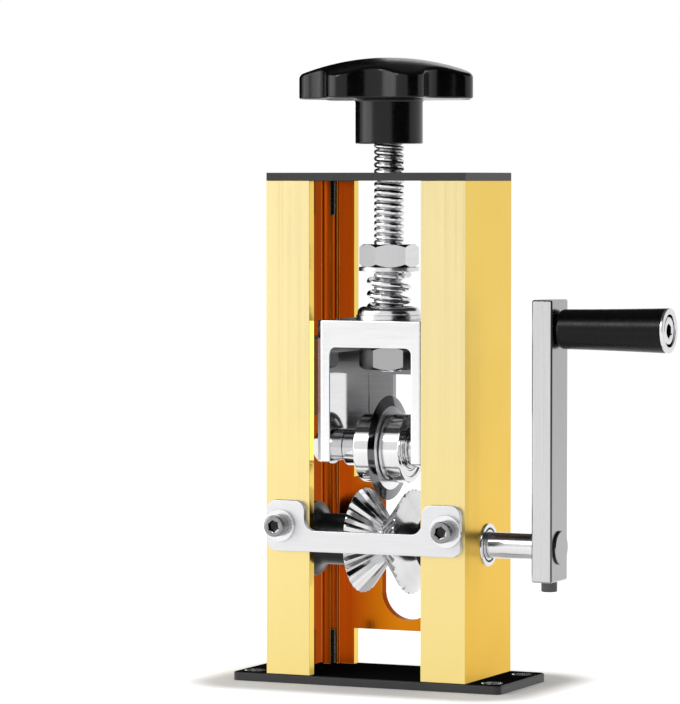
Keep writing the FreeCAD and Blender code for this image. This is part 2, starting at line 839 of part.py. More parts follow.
def biarc(p0, t0, p1, t1):
    """Two arcs from p0 to p1 that start along t0, meet smoothly and end along t1."""
    chord = p1 - p0
    total = t0 + t1
    a = total.dot(total) - 4
    b = -2 * chord.dot(total)
    c = chord.dot(chord)
    reach = (-b - math.sqrt(b * b - 4 * a * c)) / (2 * a)
    c0 = p0 + t0 * reach
    c1 = p1 - t1 * reach
    meet = (c0 + c1) * 0.5
    arcs = []
    for start, corner, end in ((p0, c0, meet), (meet, c1, p1)):
        half_chord = (end - start).Length / 2
        middle = (start + end) * 0.5
        drop = (corner - middle).Length
        half_turn = math.atan2(drop, half_chord)
        rise = half_chord * math.tan(half_turn / 2)
        top = middle + (corner - middle) * (rise / drop)
        arcs.append(Part.Arc(start, top, end).toShape())
    return arcs


def helix_point(radius, angle, z):
    return Vector(radius * math.cos(angle), radius * math.sin(angle), z)


def compression_spring():
    """One unbroken wire on a left-hand helix, in quarter turns of two arcs each."""
    radius = (spring_outer_diameter - spring_wire) / 2
    z_top = spring_top - spring_wire / 2 - spring_end_gap
    z_bottom = spring_bottom + spring_wire / 2 + spring_end_gap
    steps = max(4, round(4 * (z_top - z_bottom) / spring_pitch))
    quarter = math.pi / 2
    drop = (z_top - z_bottom) / steps
    start = math.radians(spring_start_angle)
    slope = drop / (radius * quarter)
    points = []
    tangents = []
    for i in range(steps + 1):
        angle = start + i * quarter
        points.append(helix_point(radius, angle, z_top - i * drop))
        along = Vector(-math.sin(angle), math.cos(angle), -slope)
        tangents.append(along.normalize())
    edges = []
    for i in range(steps):
        edges += biarc(points[i], tangents[i], points[i + 1], tangents[i + 1])
    path = Part.Wire(edges)
    circle = Part.Circle(points[0], tangents[0], spring_wire / 2).toShape()
    wire = path.makePipeShell([Part.Wire(circle)], True, False)
    print_spring_gap(radius, quarter, drop, steps, path.Length, wire.Volume)
    return wire


def print_spring_gap(radius, quarter, drop, steps, length, volume):
    """Prints the least gap between turns, measured on points along the wire's middle line."""
    per_quarter = 12
    count = steps * per_quarter
    points = [helix_point(radius, quarter * i / per_quarter, -drop * i / per_quarter)
              for i in range(count + 1)]
    half_turn = 2 * per_quarter
    least = min((points[i] - points[j]).Length
                for i in range(count + 1) for j in range(i + half_turn, count + 1))
    section = math.pi * (spring_wire / 2) ** 2
    print("spring: least gap to itself", round(least - spring_wire, 3), "mm, volume",
          round(volume, 1), "against", round(section * length, 1))


def carriage_block():
    """A bridge over the blade: two legs, a web for the screw, a slotted rear wall and guide ears."""
    body = box(-carriage_x, carriage_x, carriage_front, carriage_rear, carriage_bottom, carriage_top)
    near = 0.01
    edges = edges_at(body, lambda b: b.ZLength > carriage_height / 2
                     and b.YMax < carriage_front + near)
    body = body.makeChamfer(carriage_edge_chamfer, edges)
    wall_front = carriage_rear - carriage_rear_wall
    inner = box(-window_x, window_x, carriage_front, wall_front, carriage_bottom, window_top)
    corners = edges_at(inner, lambda b: b.YLength > near and b.ZMin > window_top - near)
    inner = inner.makeFillet(carriage_window_radius, corners)
    body = body.cut(inner)
    slot = carriage_rear_slot_width / 2
    body = body.cut(box(-slot, slot, wall_front, carriage_rear,
                        carriage_bottom, carriage_bottom + carriage_rear_slot_height))
    ear_y = port_y - port_boss_radius - guide_ear_gap
    ear_x = cavity_x - slide_clearance
    ear_bottom = carriage_bottom + guide_ear_bottom
    for side in (-1, 1):
        x0, x1 = sorted((side * carriage_x, side * ear_x))
        body = body.fuse(box(x0, x1, -ear_y, ear_y, ear_bottom, ear_bottom + guide_ear_height))
    body = body.cut(rod_z(screw_hole_radius, window_top, carriage_top))
    axle_hole = rod_x(axle_radius + running_clearance, -carriage_x, carriage_x, 0, blade_height)
    return body.cut(axle_hole).removeSplitter()


def axle_bolt():
    """The bolt through both legs; its head is on the right."""
    head_x = carriage_x + axle_washer_thickness
    length = head_x + carriage_x + axle_washer_thickness + axle_nut_height + axle_tail
    bolt = socket_screw_z(axle_radius, length, axle_head_radius, axle_head_height,
                          axle_hex, axle_hex_depth)
    bolt.rotate(Vector(0, 0, 0), Vector(0, 1, 0), 90)
    bolt.translate(Vector(head_x, 0, blade_height))
    return bolt


def axle_nut():
    nut = hex_nut_z(axle_nut_across_flats, axle_radius + running_clearance, 0, axle_nut_height,
                    0, nut_corner_chamfer)
    nut.rotate(Vector(0, 0, 0), Vector(0, 1, 0), -90)
    nut.translate(Vector(-carriage_x - axle_washer_thickness, 0, blade_height))
    return nut


def axle_washers():
    washers = []
    for x0, x1 in ((carriage_x, carriage_x + axle_washer_thickness),
                   (-carriage_x - axle_washer_thickness, -carriage_x)):
        washer = rod_x(axle_washer_radius, x0, x1, 0, blade_height)
        washers.append(washer.cut(rod_x(axle_radius + running_clearance, x0, x1, 0, blade_height)))
    return Part.makeCompound(washers)


def axle_sleeve():
    sleeve = rod_x(sleeve_radius, -window_x, window_x, 0, blade_height)
    return sleeve.cut(rod_x(axle_radius + running_clearance, -window_x, window_x, 0, blade_height))


def axle_spacers():
    spacers = []
    for x0, x1 in ((roller_end, window_x), (-window_x, -roller_end)):
        tube = rod_x(spacer_radius, x0, x1, 0, blade_height)
        spacers.append(tube.cut(rod_x(sleeve_radius + running_clearance, x0, x1, 0, blade_height)))
    return Part.makeCompound(spacers)


def cutting_blade():
    """A round blade, ground on both sides to a thin edge."""
    half = blade_thickness / 2
    tip = blade_edge_thickness / 2
    bore = sleeve_radius + running_clearance
    ground = blade_radius - blade_bevel
    return turned_x([(-half, bore), (-half, ground), (-tip, blade_radius), (tip, blade_radius),
                     (half, ground), (half, bore)], blade_height)


def roller_pitch():
    return (roller_inner_land + roller_outer_land) / 2


def roller_middle():
    return (roller_start + roller_end) / 2


def roller_outer_ring():
    ring = rod_x(roller_radius, roller_start, roller_end)
    ring = ring.makeFillet(roller_edge_radius, [e for e in ring.Edges if len(e.Vertexes) == 1])
    ring = ring.cut(rod_x(roller_outer_land, roller_start, roller_end))
    ring = ring.cut(ball_groove(roller_pitch(), roller_ball_radius, roller_middle()))
    ring.translate(Vector(0, 0, blade_height))
    return ring


def roller_inner_ring():
    ring = rod_x(roller_inner_land, roller_start, roller_end)
    ring = ring.cut(rod_x(sleeve_radius + running_clearance, roller_start, roller_end))
    ring = ring.cut(ball_groove(roller_pitch(), roller_ball_radius, roller_middle()))
    ring.translate(Vector(0, 0, blade_height))
    return ring


def roller_balls():
    balls = ball_ring(roller_pitch(), roller_ball_radius, roller_ball_count, roller_middle())
    group = Part.makeCompound(balls)
    group.translate(Vector(0, 0, blade_height))
    return group


def roller_cage():
    """A ring with a pocket round each ball."""
    x0 = roller_middle() - cage_width / 2
    x1 = roller_middle() + cage_width / 2
    ring = rod_x(cage_outer_radius, x0, x1).cut(rod_x(cage_inner_radius, x0, x1))
    pockets = ball_ring(roller_pitch(), roller_ball_radius + groove_clearance,
                        roller_ball_count, roller_middle())
    ring = ring.cut(Part.makeCompound(pockets))
    ring.translate(Vector(0, 0, blade_height))
    return ring


def roller_shields():
    """Two thin discs that close the bearing; they sit in the outer ring."""
    shields = []
    for x0 in (roller_start + shield_inset, roller_end - shield_inset - shield_thickness):
        x1 = x0 + shield_thickness
        disc = rod_x(roller_outer_land, x0, x1)
        shields.append(disc.cut(rod_x(roller_inner_land + seat_gap, x0, x1)))
    group = Part.makeCompound(shields)
    group.translate(Vector(0, 0, blade_height))
    return group


single_pieces = {
    "frame_extrusion": frame_extrusion,
    "base_plate": base_plate,
    "top_plate": top_plate,
    "top_plate_screws": top_plate_screws,
    "base_plate_screws": base_plate_screws,
    "guide_bar": guide_bar,
    "guide_bar_washers": guide_bar_washers,
    "guide_bar_screws": guide_bar_screws,
    "drive_shaft": drive_shaft,
    "shaft_clip": shaft_clip,
    "wheel_key": wheel_key,
    "crank_arm": crank_arm,
    "arm_clamp_screw": arm_clamp_screw,
    "handle_bolt": handle_bolt,
    "handle_grip": handle_grip,
    "grip_end_ring": grip_end_ring,
    "star_knob": star_knob,
    "adjusting_screw": adjusting_screw,
    "upper_nut": upper_nut,
    "lower_nut": lower_nut,
    "upper_washer": upper_washer,
    "compression_spring": compression_spring,
    "spring_cup": spring_cup,
    "seat_washer": seat_washer,
    "carriage_block": carriage_block,
    "axle_bolt": axle_bolt,
    "axle_nut": axle_nut,
    "axle_washers": axle_washers,
    "axle_sleeve": axle_sleeve,
    "axle_spacers": axle_spacers,
    "cutting_blade": cutting_blade,
}

# Pieces that come as a pair, the left one a mirror of the right one
paired_pieces = {
    "wall_bearing_outer": wall_bearing_outer,
    "wall_bearing_inner": wall_bearing_inner,
    "wall_bearing_balls": wall_bearing_balls,
    "feed_wheel": feed_wheel,
    "shaft_collar": shaft_collar,
    "roller_outer_ring": roller_outer_ring,
    "roller_inner_ring": roller_inner_ring,
    "roller_balls": roller_balls,
    "roller_cage": roller_cage,
    "roller_shields": roller_shields,
}


def save(name, shape):
    shape.exportStep(os.path.join("parts", name + ".step"))
    print(name, "solids", len(shape.Solids), "volume", round(shape.Volume, 1), shape.isValid())


os.makedirs("parts", exist_ok=True)
for piece_name, make in single_pieces.items():
    save(piece_name, make())
for piece_name, make in paired_pieces.items():
    right = make()
    save(piece_name + "_right", right)
    save(piece_name + "_left", mirrored(right))
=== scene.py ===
import json
import math

import bmesh
import bpy
from mathutils import Matrix, Vector

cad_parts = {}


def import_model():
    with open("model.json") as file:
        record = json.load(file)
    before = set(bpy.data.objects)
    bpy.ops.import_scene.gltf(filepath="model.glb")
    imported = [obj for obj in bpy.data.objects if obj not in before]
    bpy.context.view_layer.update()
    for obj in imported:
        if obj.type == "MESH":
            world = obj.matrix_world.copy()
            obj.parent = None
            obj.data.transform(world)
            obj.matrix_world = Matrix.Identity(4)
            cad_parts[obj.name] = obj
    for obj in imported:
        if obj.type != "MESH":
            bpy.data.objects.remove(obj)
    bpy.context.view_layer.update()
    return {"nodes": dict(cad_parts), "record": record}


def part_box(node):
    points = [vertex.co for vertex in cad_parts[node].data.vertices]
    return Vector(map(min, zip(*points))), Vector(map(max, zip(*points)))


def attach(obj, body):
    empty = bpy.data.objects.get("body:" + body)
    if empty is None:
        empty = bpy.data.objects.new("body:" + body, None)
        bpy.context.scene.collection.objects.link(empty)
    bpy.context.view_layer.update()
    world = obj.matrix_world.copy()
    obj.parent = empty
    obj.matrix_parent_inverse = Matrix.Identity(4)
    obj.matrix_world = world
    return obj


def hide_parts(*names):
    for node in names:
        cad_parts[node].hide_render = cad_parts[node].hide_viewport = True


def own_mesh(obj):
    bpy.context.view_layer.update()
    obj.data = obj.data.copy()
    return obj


# Hand crank wire stripper, dressed for its studio picture. Metres, +Z up, -Y is the front.

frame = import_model()

MM = 0.001
TURN = 2 * math.pi
TINY = 1e-6
record = frame["record"]
nodes = frame["nodes"]
body_of_node = {n: body for body, names in record["behaviour"]["bodies"].items() for n in names}


def low(node):
    return Vector(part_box(node)[0])


def high(node):
    return Vector(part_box(node)[1])


def centre(node):
    return (low(node) + high(node)) / 2


def half_height(node):
    return (high(node).z - low(node).z) / 2


def side_span(node):
    """How far from the frame's middle a piece at one side begins and ends."""
    return sorted((abs(low(node).x), abs(high(node).x)))


# Materials

class Tree:
    """A node tree with short calls for the nodes that it needs."""

    def __init__(self, owner):
        owner.use_nodes = True
        self.tree = owner.node_tree

    def node(self, kind, **values):
        made = self.tree.nodes.new(kind)
        for key, value in values.items():
            setattr(made, key, value)
        return made

    def link(self, source, target):
        self.tree.links.new(source, target)

    def place(self):
        return self.node("ShaderNodeTexCoord").outputs["Object"]

    def stretched(self, scale, vector=None):
        mapping = self.node("ShaderNodeMapping")
        self.link(vector or self.place(), mapping.inputs["Vector"])
        mapping.inputs["Scale"].default_value = scale
        return mapping.outputs["Vector"]

    def noise(self, scale, vector=None, detail=3.0):
        texture = self.node("ShaderNodeTexNoise")
        self.link(self.stretched(scale, vector), texture.inputs["Vector"])
        texture.inputs["Scale"].default_value = 1.0
        texture.inputs["Detail"].default_value = detail
        texture.inputs["Roughness"].default_value = 0.6
        return texture.outputs["Fac"]

    def math(self, operation, a, b=None, c=None):
        made = self.node("ShaderNodeMath", operation=operation)
        for index, value in enumerate((a, b, c)):
            if value is None:
                continue
            if isinstance(value, (int, float)):
                made.inputs[index].default_value = value
            else:
                self.link(value, made.inputs[index])
        return made.outputs[0]

    def spread(self, value, low_out, high_out, low_in=0.3, high_in=0.7):
        made = self.node("ShaderNodeMapRange")
        self.link(value, made.inputs["Value"])
        made.inputs["From Min"].default_value = low_in
        made.inputs["From Max"].default_value = high_in
        made.inputs["To Min"].default_value = low_out
        made.inputs["To Max"].default_value = high_out
        return made.outputs["Result"]

    def blend(self, factor, colour_a, colour_b):
        made = self.node("ShaderNodeMix", data_type="RGBA")
        self.link(factor, made.inputs["Factor"])
        for key, colour in (("A", colour_a), ("B", colour_b)):
            socket = [s for s in made.inputs if s.name == key and s.type == "RGBA"][0]
            if isinstance(colour, tuple):
                socket.default_value = colour + (1.0,)
            else:
                self.link(colour, socket)
        return [s for s in made.outputs if s.type == "RGBA"][0]

    def mixed(self, factor, first, second):
        """The first shader where the factor is zero and the second where it is one."""
        made = self.node("ShaderNodeMixShader")
        for index, source in enumerate((factor, first, second)):
            self.link(source, made.inputs[index])
        return made.outputs[0]


class Recipe(Tree):
    """A material under construction."""

    def __init__(self, name, **inputs):
        self.material = bpy.data.materials.new(name)
        super().__init__(self.material)
        self.shader = self.tree.nodes["Principled BSDF"]
        for key, value in inputs.items():
            self.shader.inputs[key.replace("_", " ")].default_value = value

    def bump(self, height, strength, distance):
        made = self.node("ShaderNodeBump")
        made.inputs["Strength"].default_value = strength
        made.inputs["Distance"].default_value = distance
        self.link(height, made.inputs["Height"])
        self.link(made.outputs["Normal"], self.shader.inputs["Normal"])

    def place_parts(self):
        parts = self.node("ShaderNodeSeparateXYZ")
        self.link(self.place(), parts.inputs[0])
        return parts.outputs

    def painted_glow_towards_middle(self):
        """Zero at the frame's sides and one in the middle of its rear wall: where the rear wall's
        painted glow comes in.
        """
        across = self.math("ABSOLUTE", self.place_parts()["X"])
        return self.spread(across, 0.0, 1.0, 30 * MM, 4 * MM)

    def painted_glow_towards_foot(self):
        """Zero from the frame's upper half on and one at its foot: where the painted orange glow at the
        foot comes in.
        """
        return self.spread(self.place_parts()["Z"], 1.0, 0.0, 6 * MM, 160 * MM)

    def around_x(self, height):
        """Coordinates (along X, distance from the axis, angle) for turned and ground pieces."""
        x, y, z = self.place_parts()
        up = self.math("SUBTRACT", z, height)
        out = self.math("SQRT", self.math("ADD", self.math("MULTIPLY", up, up),
                                          self.math("MULTIPLY", y, y)))
        angle = self.math("ARCTAN2", y, up)
        joined = self.node("ShaderNodeCombineXYZ")
        self.link(x, joined.inputs[0])
        self.link(out, joined.inputs[1])
        self.link(self.math("MULTIPLY", angle, 0.01), joined.inputs[2])
        return joined.outputs[0]


FINE_SHARE = 0.6
METAL_RELIEF = 0.4 * MM
COATING_RELIEF = 0.3 * MM
BLOTCHES = (18, 18, 18)


def brushed(name, colour, rough, streaks, vector_of=None, tone=0.08, depth=0.02, rim=None,
            fades_to=None, fade_of=lambda r: r.painted_glow_towards_middle()):
    """Metal with fine streaks: fine where the scale is large, drawn out where it is small."""
    r = Recipe(name, Metallic=1.0)
    if rim:
        r.shader.inputs["Specular Tint"].default_value = rim + (1.0,)
    vector = vector_of(r) if vector_of else None
    fine = r.noise(streaks, vector, detail=4.0)
    broad = r.noise(BLOTCHES, detail=2.0)
    dark = tuple(c * (1 - tone) for c in colour)
    bright = tuple(min(1.0, c * (1 + tone)) for c in colour)
    toned = r.blend(r.spread(fine, 0, 1), dark, bright)
    # A painted glow: a second colour that comes in where the mask reaches one.
    if fades_to:
        toned = r.blend(fade_of(r), toned, fades_to)
    r.link(toned, r.shader.inputs["Base Color"])
    mixed = r.math("ADD", r.math("MULTIPLY", fine, FINE_SHARE),
                   r.math("MULTIPLY", broad, 1 - FINE_SHARE))
    r.link(r.spread(mixed, rough * 0.75, rough * 1.3), r.shader.inputs["Roughness"])
    r.bump(fine, depth, METAL_RELIEF)
    return r.material


def coated(name, colour, rough, grain, depth, shine=0.5):
    """Paint, blacking or moulded plastic with a fine grain. Shine is the specular level."""
    r = Recipe(name, Metallic=0.0, Specular_IOR_Level=shine)
    fine = r.noise((grain, grain, grain), detail=5.0)
    broad = r.noise((35, 35, 35), detail=3.0)
    light = tuple(min(1.0, c * 1.6) for c in colour)
    r.link(r.blend(r.spread(broad, 0, 1), colour, light), r.shader.inputs["Base Color"])
    r.link(r.spread(fine, rough * 0.8, rough * 1.25), r.shader.inputs["Roughness"])
    r.bump(fine, depth, COATING_RELIEF)
    return r.material


drive_height = centre("drive_shaft").z
blade_height = centre("cutting_blade").z


def round_drive(r):
    return r.around_x(drive_height)


def round_blade(r):
    return r.around_x(blade_height)


# The mask of the frame's painted orange glow at its foot.
def painted_glow_down_the_frame(r):
    return r.painted_glow_towards_foot()


GOLD = (0.69, 0.577, 0.293)
# Painted orange glow towards the foot of the frame's front.
FRONT_FOOT_PAINTED_GLOW = (0.772, 0.616, 0.23)
# Painted shade: the frame's sides take a darker, deeper copy of the front's gold.
GOLD_SIDE_PAINTED_SHADE = (0.85, 0.585, 0.08)
# Painted orange glow towards the foot of the frame's sides.
SIDE_FOOT_PAINTED_GLOW = (0.81, 0.48, 0.012)
# Painted shade and reflection: the deep orange of the frame's inner walls.
GOLD_INSIDE_PAINTED_SHADE = (0.30, 0.042, 0.0015)
# Painted glow: the rear wall's brighter orange in its middle.
GOLD_REAR_PAINTED_GLOW = (0.55, 0.17, 0.004)
# Painted shade: dark lines along the frame's rounded corners.
GOLD_CORNER_PAINTED_SHADE = (0.62, 0.36, 0.035)
# Painted shade: the darker gold of the screw ports.
GOLD_PORT_PAINTED_SHADE = (0.22, 0.034, 0.002)
# The rim tint of the inner walls' painted reflection.
RIM_INSIDE_PAINTED_REFLECTION = (0.74, 0.58, 0.51)
# The rim tint of the ports' painted shade.
RIM_PORT_PAINTED_SHADE = (0.30, 0.16, 0.10)
BRIGHT = (0.70, 0.70, 0.71)
BLACK = (0.0014, 0.0014, 0.0016)
POLISHED = (0.72, 0.72, 0.73)

# How close the streaks lie along X, Y and Z
DRAWN = (900, 900, 4)
EVEN = (900, 900, 900)
ARM_GRAIN = (1600, 1600, 12)

# The same along a turned piece's axis, outwards and round it
GROUND = (1500, 1500, 5)
TURNED = (2600, 2600, 5)


def anodised(name, colour, rough, **more):
    """The frame's drawn aluminium, dyed gold; its other copies carry painted shade, reflections and
    glow.
    """
    return brushed(name, colour, rough, DRAWN, **more)


def grey(value):
    """The colour of plain steel, a trace cooler than neutral."""
    return (value, value, value + 0.005)


look = {
    # The front's gold, with a painted orange glow towards the foot.
    "gold": anodised("gold_anodised", GOLD, 0.34, tone=0.03, depth=0.04, fades_to=FRONT_FOOT_PAINTED_GLOW,
                     fade_of=painted_glow_down_the_frame),
    # The sides' painted shade, with a painted orange glow towards the foot.
    "gold_side_painted_shade": anodised("side_gold_painted_shade_and_glow", GOLD_SIDE_PAINTED_SHADE, 0.34, tone=0.04, depth=0.04,
                          fades_to=SIDE_FOOT_PAINTED_GLOW, fade_of=painted_glow_down_the_frame),
    # The slot edges take the sides' painted shade.
    "gold_edge": anodised("slot_edge_gold_painted_shade", GOLD_SIDE_PAINTED_SHADE, 0.12, tone=0.04),
    # Painted shade on the frame's rounded corners.
    "gold_bevel_painted_shade": anodised("corner_gold_painted_shade", GOLD_CORNER_PAINTED_SHADE, 0.22, tone=0.04),
    # Painted shade in the screw ports.
    "gold_port_painted_shade": anodised("port_gold_painted_shade", GOLD_PORT_PAINTED_SHADE, 0.38, tone=0.12, rim=RIM_PORT_PAINTED_SHADE),
    # Painted shade and reflection on the frame's inner walls.
    "gold_inside_painted_shade": anodised("inner_gold_painted_shade_and_reflection", GOLD_INSIDE_PAINTED_SHADE, 0.16, tone=0.16, depth=0.05,
                            rim=RIM_INSIDE_PAINTED_REFLECTION),
    # The rear wall: painted shade, with a painted glow towards its middle.
    "gold_rear_painted_glow": anodised("gold_anodised_rear_wall", GOLD_INSIDE_PAINTED_SHADE, 0.16, tone=0.12, depth=0.05,
                          rim=RIM_INSIDE_PAINTED_REFLECTION, fades_to=GOLD_REAR_PAINTED_GLOW),
    "plate": coated("black_plate", (0.005, 0.005, 0.005), 0.55, 1400, 0.10, shine=0.0),
    "plate_edge": coated("black_plate_edge", (0.018, 0.018, 0.019), 0.40, 1400, 0.12, shine=0.4),
    "oxide": coated("black_oxide", (0.010, 0.010, 0.011), 0.34, 2200, 0.10, shine=0.35),
    "cap": brushed("blackened_steel", grey(0.26), 0.20, EVEN, tone=0.08),
    "dark": brushed("dark_screw_steel", (0.075, 0.075, 0.077), 0.14, EVEN, tone=0.08),
    "bare": brushed("bare_steel", (0.75, 0.75, 0.75), 0.25, (1500, 1500, 1500)),
    "plated": brushed("plated_steel", BRIGHT, 0.20, (700, 60, 700), tone=0.04, depth=0.02),
    # Painted shade: dark lines on the nuts' chamfers and rounded edges.
    "nut_chamfer_painted_shade": brushed("nut_chamfer_painted_shade", (0.08, 0.08, 0.083), 0.18, (700, 700, 700), tone=0.06),
    "nut_shaded": brushed("plated_nut_below", grey(0.40), 0.20, (700, 60, 700), tone=0.04),
    "block": brushed("plated_block", grey(0.775), 0.20, (60, 900, 900), tone=0.03, depth=0.02),
    "block_leg": brushed("polished_block_leg", grey(0.74), 0.07, (900, 60, 900), tone=0.05),
    # Painted shade: the faces inside the carriage's window, darker than the block.
    "block_inner_painted_shade": brushed("milled_window_painted_shade", grey(0.30), 0.34, (60, 900, 900), tone=0.10,
                            depth=0.05),
    # Painted reflection: the ears take the dark gold of the channel walls that they mirror.
    "block_ear_painted_reflection": brushed("guide_ear_painted_reflection", (0.10, 0.040, 0.020), 0.34, (900, 900, 60), tone=0.08),
    # Painted shade: the screws' hex sockets, darkened as recesses are.
    "socket": brushed("screw_socket_painted_shade", (0.035, 0.035, 0.036), 0.35, (1500, 1500, 1500), tone=0.2),
    "guide": brushed("satin_guide_bar", (0.635, 0.635, 0.645), 0.36, (30, 1400, 1400), tone=0.04,
                     depth=0.04),
    "thread": brushed("thread_steel", (0.66, 0.66, 0.67), 0.22, EVEN, tone=0.08),
    "shaft": brushed("ground_shaft", BRIGHT, 0.18, (2600, 2600, 6), round_drive, tone=0.05),
    "wheel": brushed("ground_wheel", POLISHED, 0.13, GROUND, round_drive, tone=0.06),
    # Painted shade: the wheels' flat faces, darker than their ground rims.
    "wheel_flat_painted_shade": brushed("turned_wheel_faces_painted_shade", grey(0.30), 0.24, GROUND, round_drive, tone=0.10),
    "blade": brushed("ground_blade", (0.86, 0.86, 0.87), 0.30, TURNED, round_blade, tone=0.07),
    # Painted reflection: the dark band on the blade's ground rim.
    "painted_dark_blade_rim": brushed("ground_blade_rim_painted_reflection", grey(0.16), 0.10, TURNED, round_blade, tone=0.07),
    "bearing": brushed("bearing_steel", POLISHED, 0.10, TURNED, round_blade, tone=0.04),
    "spring": brushed("spring_wire", POLISHED, 0.16, (500, 500, 500), tone=0.06),
    "arm": brushed("satin_arm", grey(0.55), 0.27, ARM_GRAIN, tone=0.05, depth=0.05),
    # Painted reflection: a dark line down the arm's front corner.
    "arm_corner_painted_reflection": brushed("satin_arm_edge_line_painted_reflection", grey(0.13), 0.20, ARM_GRAIN, tone=0.06),
    # Painted shade: the arm's sides, darker than its front.
    "arm_side_painted_shade": brushed("satin_arm_flanks_painted_shade", grey(0.36), 0.24, ARM_GRAIN, tone=0.06, depth=0.05),
    "collar": coated("black_collar", (0.006, 0.006, 0.007), 0.30, 1800, 0.08, shine=0.3),
    "grip": coated("black_satin_grip", BLACK, 0.27, 500, 0.03, shine=0.18),
    "gloss": coated("black_gloss_plastic", BLACK, 0.20, 500, 0.03, shine=0.32),
}


# Building pieces

def keep(name, mesh, material, *named_nodes, flat_angle=32.0):
    """Links a finished mesh, with its looks, as a piece that stands for CAD nodes, on their body."""
    piece = bpy.data.objects.new(name, mesh)
    bpy.context.scene.collection.objects.link(piece)
    for item in material if isinstance(material, (list, tuple)) else [material]:
        mesh.materials.append(look[item])
    for polygon in mesh.polygons:
        polygon.use_smooth = True
    mesh.set_sharp_from_angle(angle=math.radians(flat_angle))
    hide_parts(*named_nodes)
    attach(piece, body_of_node[named_nodes[0]])
    return piece


def weighted(piece):
    modifier = piece.modifiers.new("normals", "WEIGHTED_NORMAL")
    modifier.keep_sharp = True


def eased(node, width, material, steps=2, angle=30.0):
    """A copy of a CAD piece with its edges broken by a small round."""
    mesh = nodes[node].data.copy()
    mesh.materials.clear()
    work = bmesh.new()
    work.from_mesh(mesh)
    bmesh.ops.remove_doubles(work, verts=work.verts, dist=TINY)
    bmesh.ops.dissolve_limit(work, angle_limit=math.radians(0.6), verts=work.verts,
                             edges=work.edges)
    work.to_mesh(mesh)
    work.free()
    piece = keep(node + "_shown", mesh, material, node)
    bevel = piece.modifiers.new("edges", "BEVEL")
    bevel.width = width
    bevel.segments = steps
    bevel.limit_method = "ANGLE"
    bevel.angle_limit = math.radians(angle)
    bevel.harden_normals = False
    weighted(piece)
    return piece


def paint(piece, looks, choose):
    """Gives each face the look that choose(centre, normal) names; without a name it stays as it is."""
    for polygon in piece.data.polygons:
        name = choose(polygon.center, polygon.normal)
        if name:
            polygon.material_index = looks.index(name)


def rings_mesh(name, rings, closed=False):
    """Skins rings of equally many points; a ring of one point is a tip. Closed joins last to first."""
    work = bmesh.new()
    rows = [[work.verts.new(point) for point in ring] for ring in rings]
    pairs = list(zip(rows, rows[1:]))
    if closed:
        pairs.append((rows[-1], rows[0]))
    for a, b in pairs:
        count = max(len(a), len(b))
        for i in range(count):
            j = (i + 1) % count
            corners = [a[i % len(a)], a[j % len(a)], b[j % len(b)], b[i % len(b)]]
            unique = list(dict.fromkeys(corners))
            if len(unique) > 2:
                work.faces.new(unique)
    bmesh.ops.recalc_face_normals(work, faces=work.faces)
    mesh = bpy.data.meshes.new(name)
    work.to_mesh(mesh)
    work.free()
    return mesh


def eased_corners(points, size, closed=True, steps=3):
    """The same outline with each corner rounded by a short curve."""
    out = []
    count = len(points)
    for i, (x, y) in enumerate(points):
        if not closed and i in (0, count - 1):
            out.append((x, y))
            continue
        here = Vector((x, y))
        before = Vector(points[i - 1])
        after = Vector(points[(i + 1) % count])
        cut = min(size, 0.45 * (before - here).length, 0.45 * (after - here).length)
        start = here + (before - here).normalized() * cut
        end = here + (after - here).normalized() * cut
        for k in range(steps + 1):
            t = k / steps
            point = start * (1 - t) ** 2 + here * 2 * t * (1 - t) + end * t ** 2
            out.append((point.x, point.y))
    return out


AXES = {
    "X": Matrix(((0, 0, 1), (1, 0, 0), (0, 1, 0))).to_4x4(),
    "Y": Matrix(((0, 1, 0), (0, 0, 1), (1, 0, 0))).to_4x4(),
    "Z": Matrix.Identity(4),
}


def circle(place, along, radius, count):
    """A ring of points round place's Z."""
    return [place @ Vector((radius * math.cos(TURN * i / count),
                            radius * math.sin(TURN * i / count), along)) for i in range(count)]


def hoop_mesh(name, outline, place, count=96):
    """The mesh of a turned ring with a closed outline of (along, radius) points."""
    return rings_mesh(name, [circle(place, along, radius, count) for along, radius in outline],
                      closed=True)


def turned(name, profile, axis, origin, material, *named_nodes, ease=0.2 * MM, count=128,
           mirror=False, flat_angle=32.0):
    """A turned piece from (along, radius) points; with a zero radius at both ends it is solid."""
    solid = profile[0][1] == 0 and profile[-1][1] == 0
    outline = eased_corners(profile, ease, closed=not solid)
    side = -1 if mirror else 1
    place = Matrix.Translation(origin) @ AXES[axis]
    rings = []
    for along, radius in outline:
        if radius <= 1e-9:
            rings.append([place @ Vector((0, 0, along * side))])
        else:
            rings.append(circle(place, along * side, radius, count))
    piece = keep(name, rings_mesh(name, rings, closed=not solid), material, *named_nodes,
                 flat_angle=flat_angle)
    weighted(piece)
    return piece


def tube_profile(x0, x1, inner, outer):
    return [(x0, inner), (x0, outer), (x1, outer), (x1, inner)]


def along_axis(node, axis, middle):
    """(start, end, outer radius) of a turned node along its axis, measured from a middle point."""
    index = "XYZ".index(axis)
    across = (index + 1) % 3
    a = low(node)[index] - middle[index]
    b = high(node)[index] - middle[index]
    return a, b, (high(node)[across] - low(node)[across]) / 2


def hexagon_radius(across_flats, angle):
    """Distance from the middle to a hexagon's side in that direction; a corner lies at zero."""
    from_flat = (angle % (TURN / 6)) - TURN / 12
    return across_flats / 2 / math.cos(from_flat)


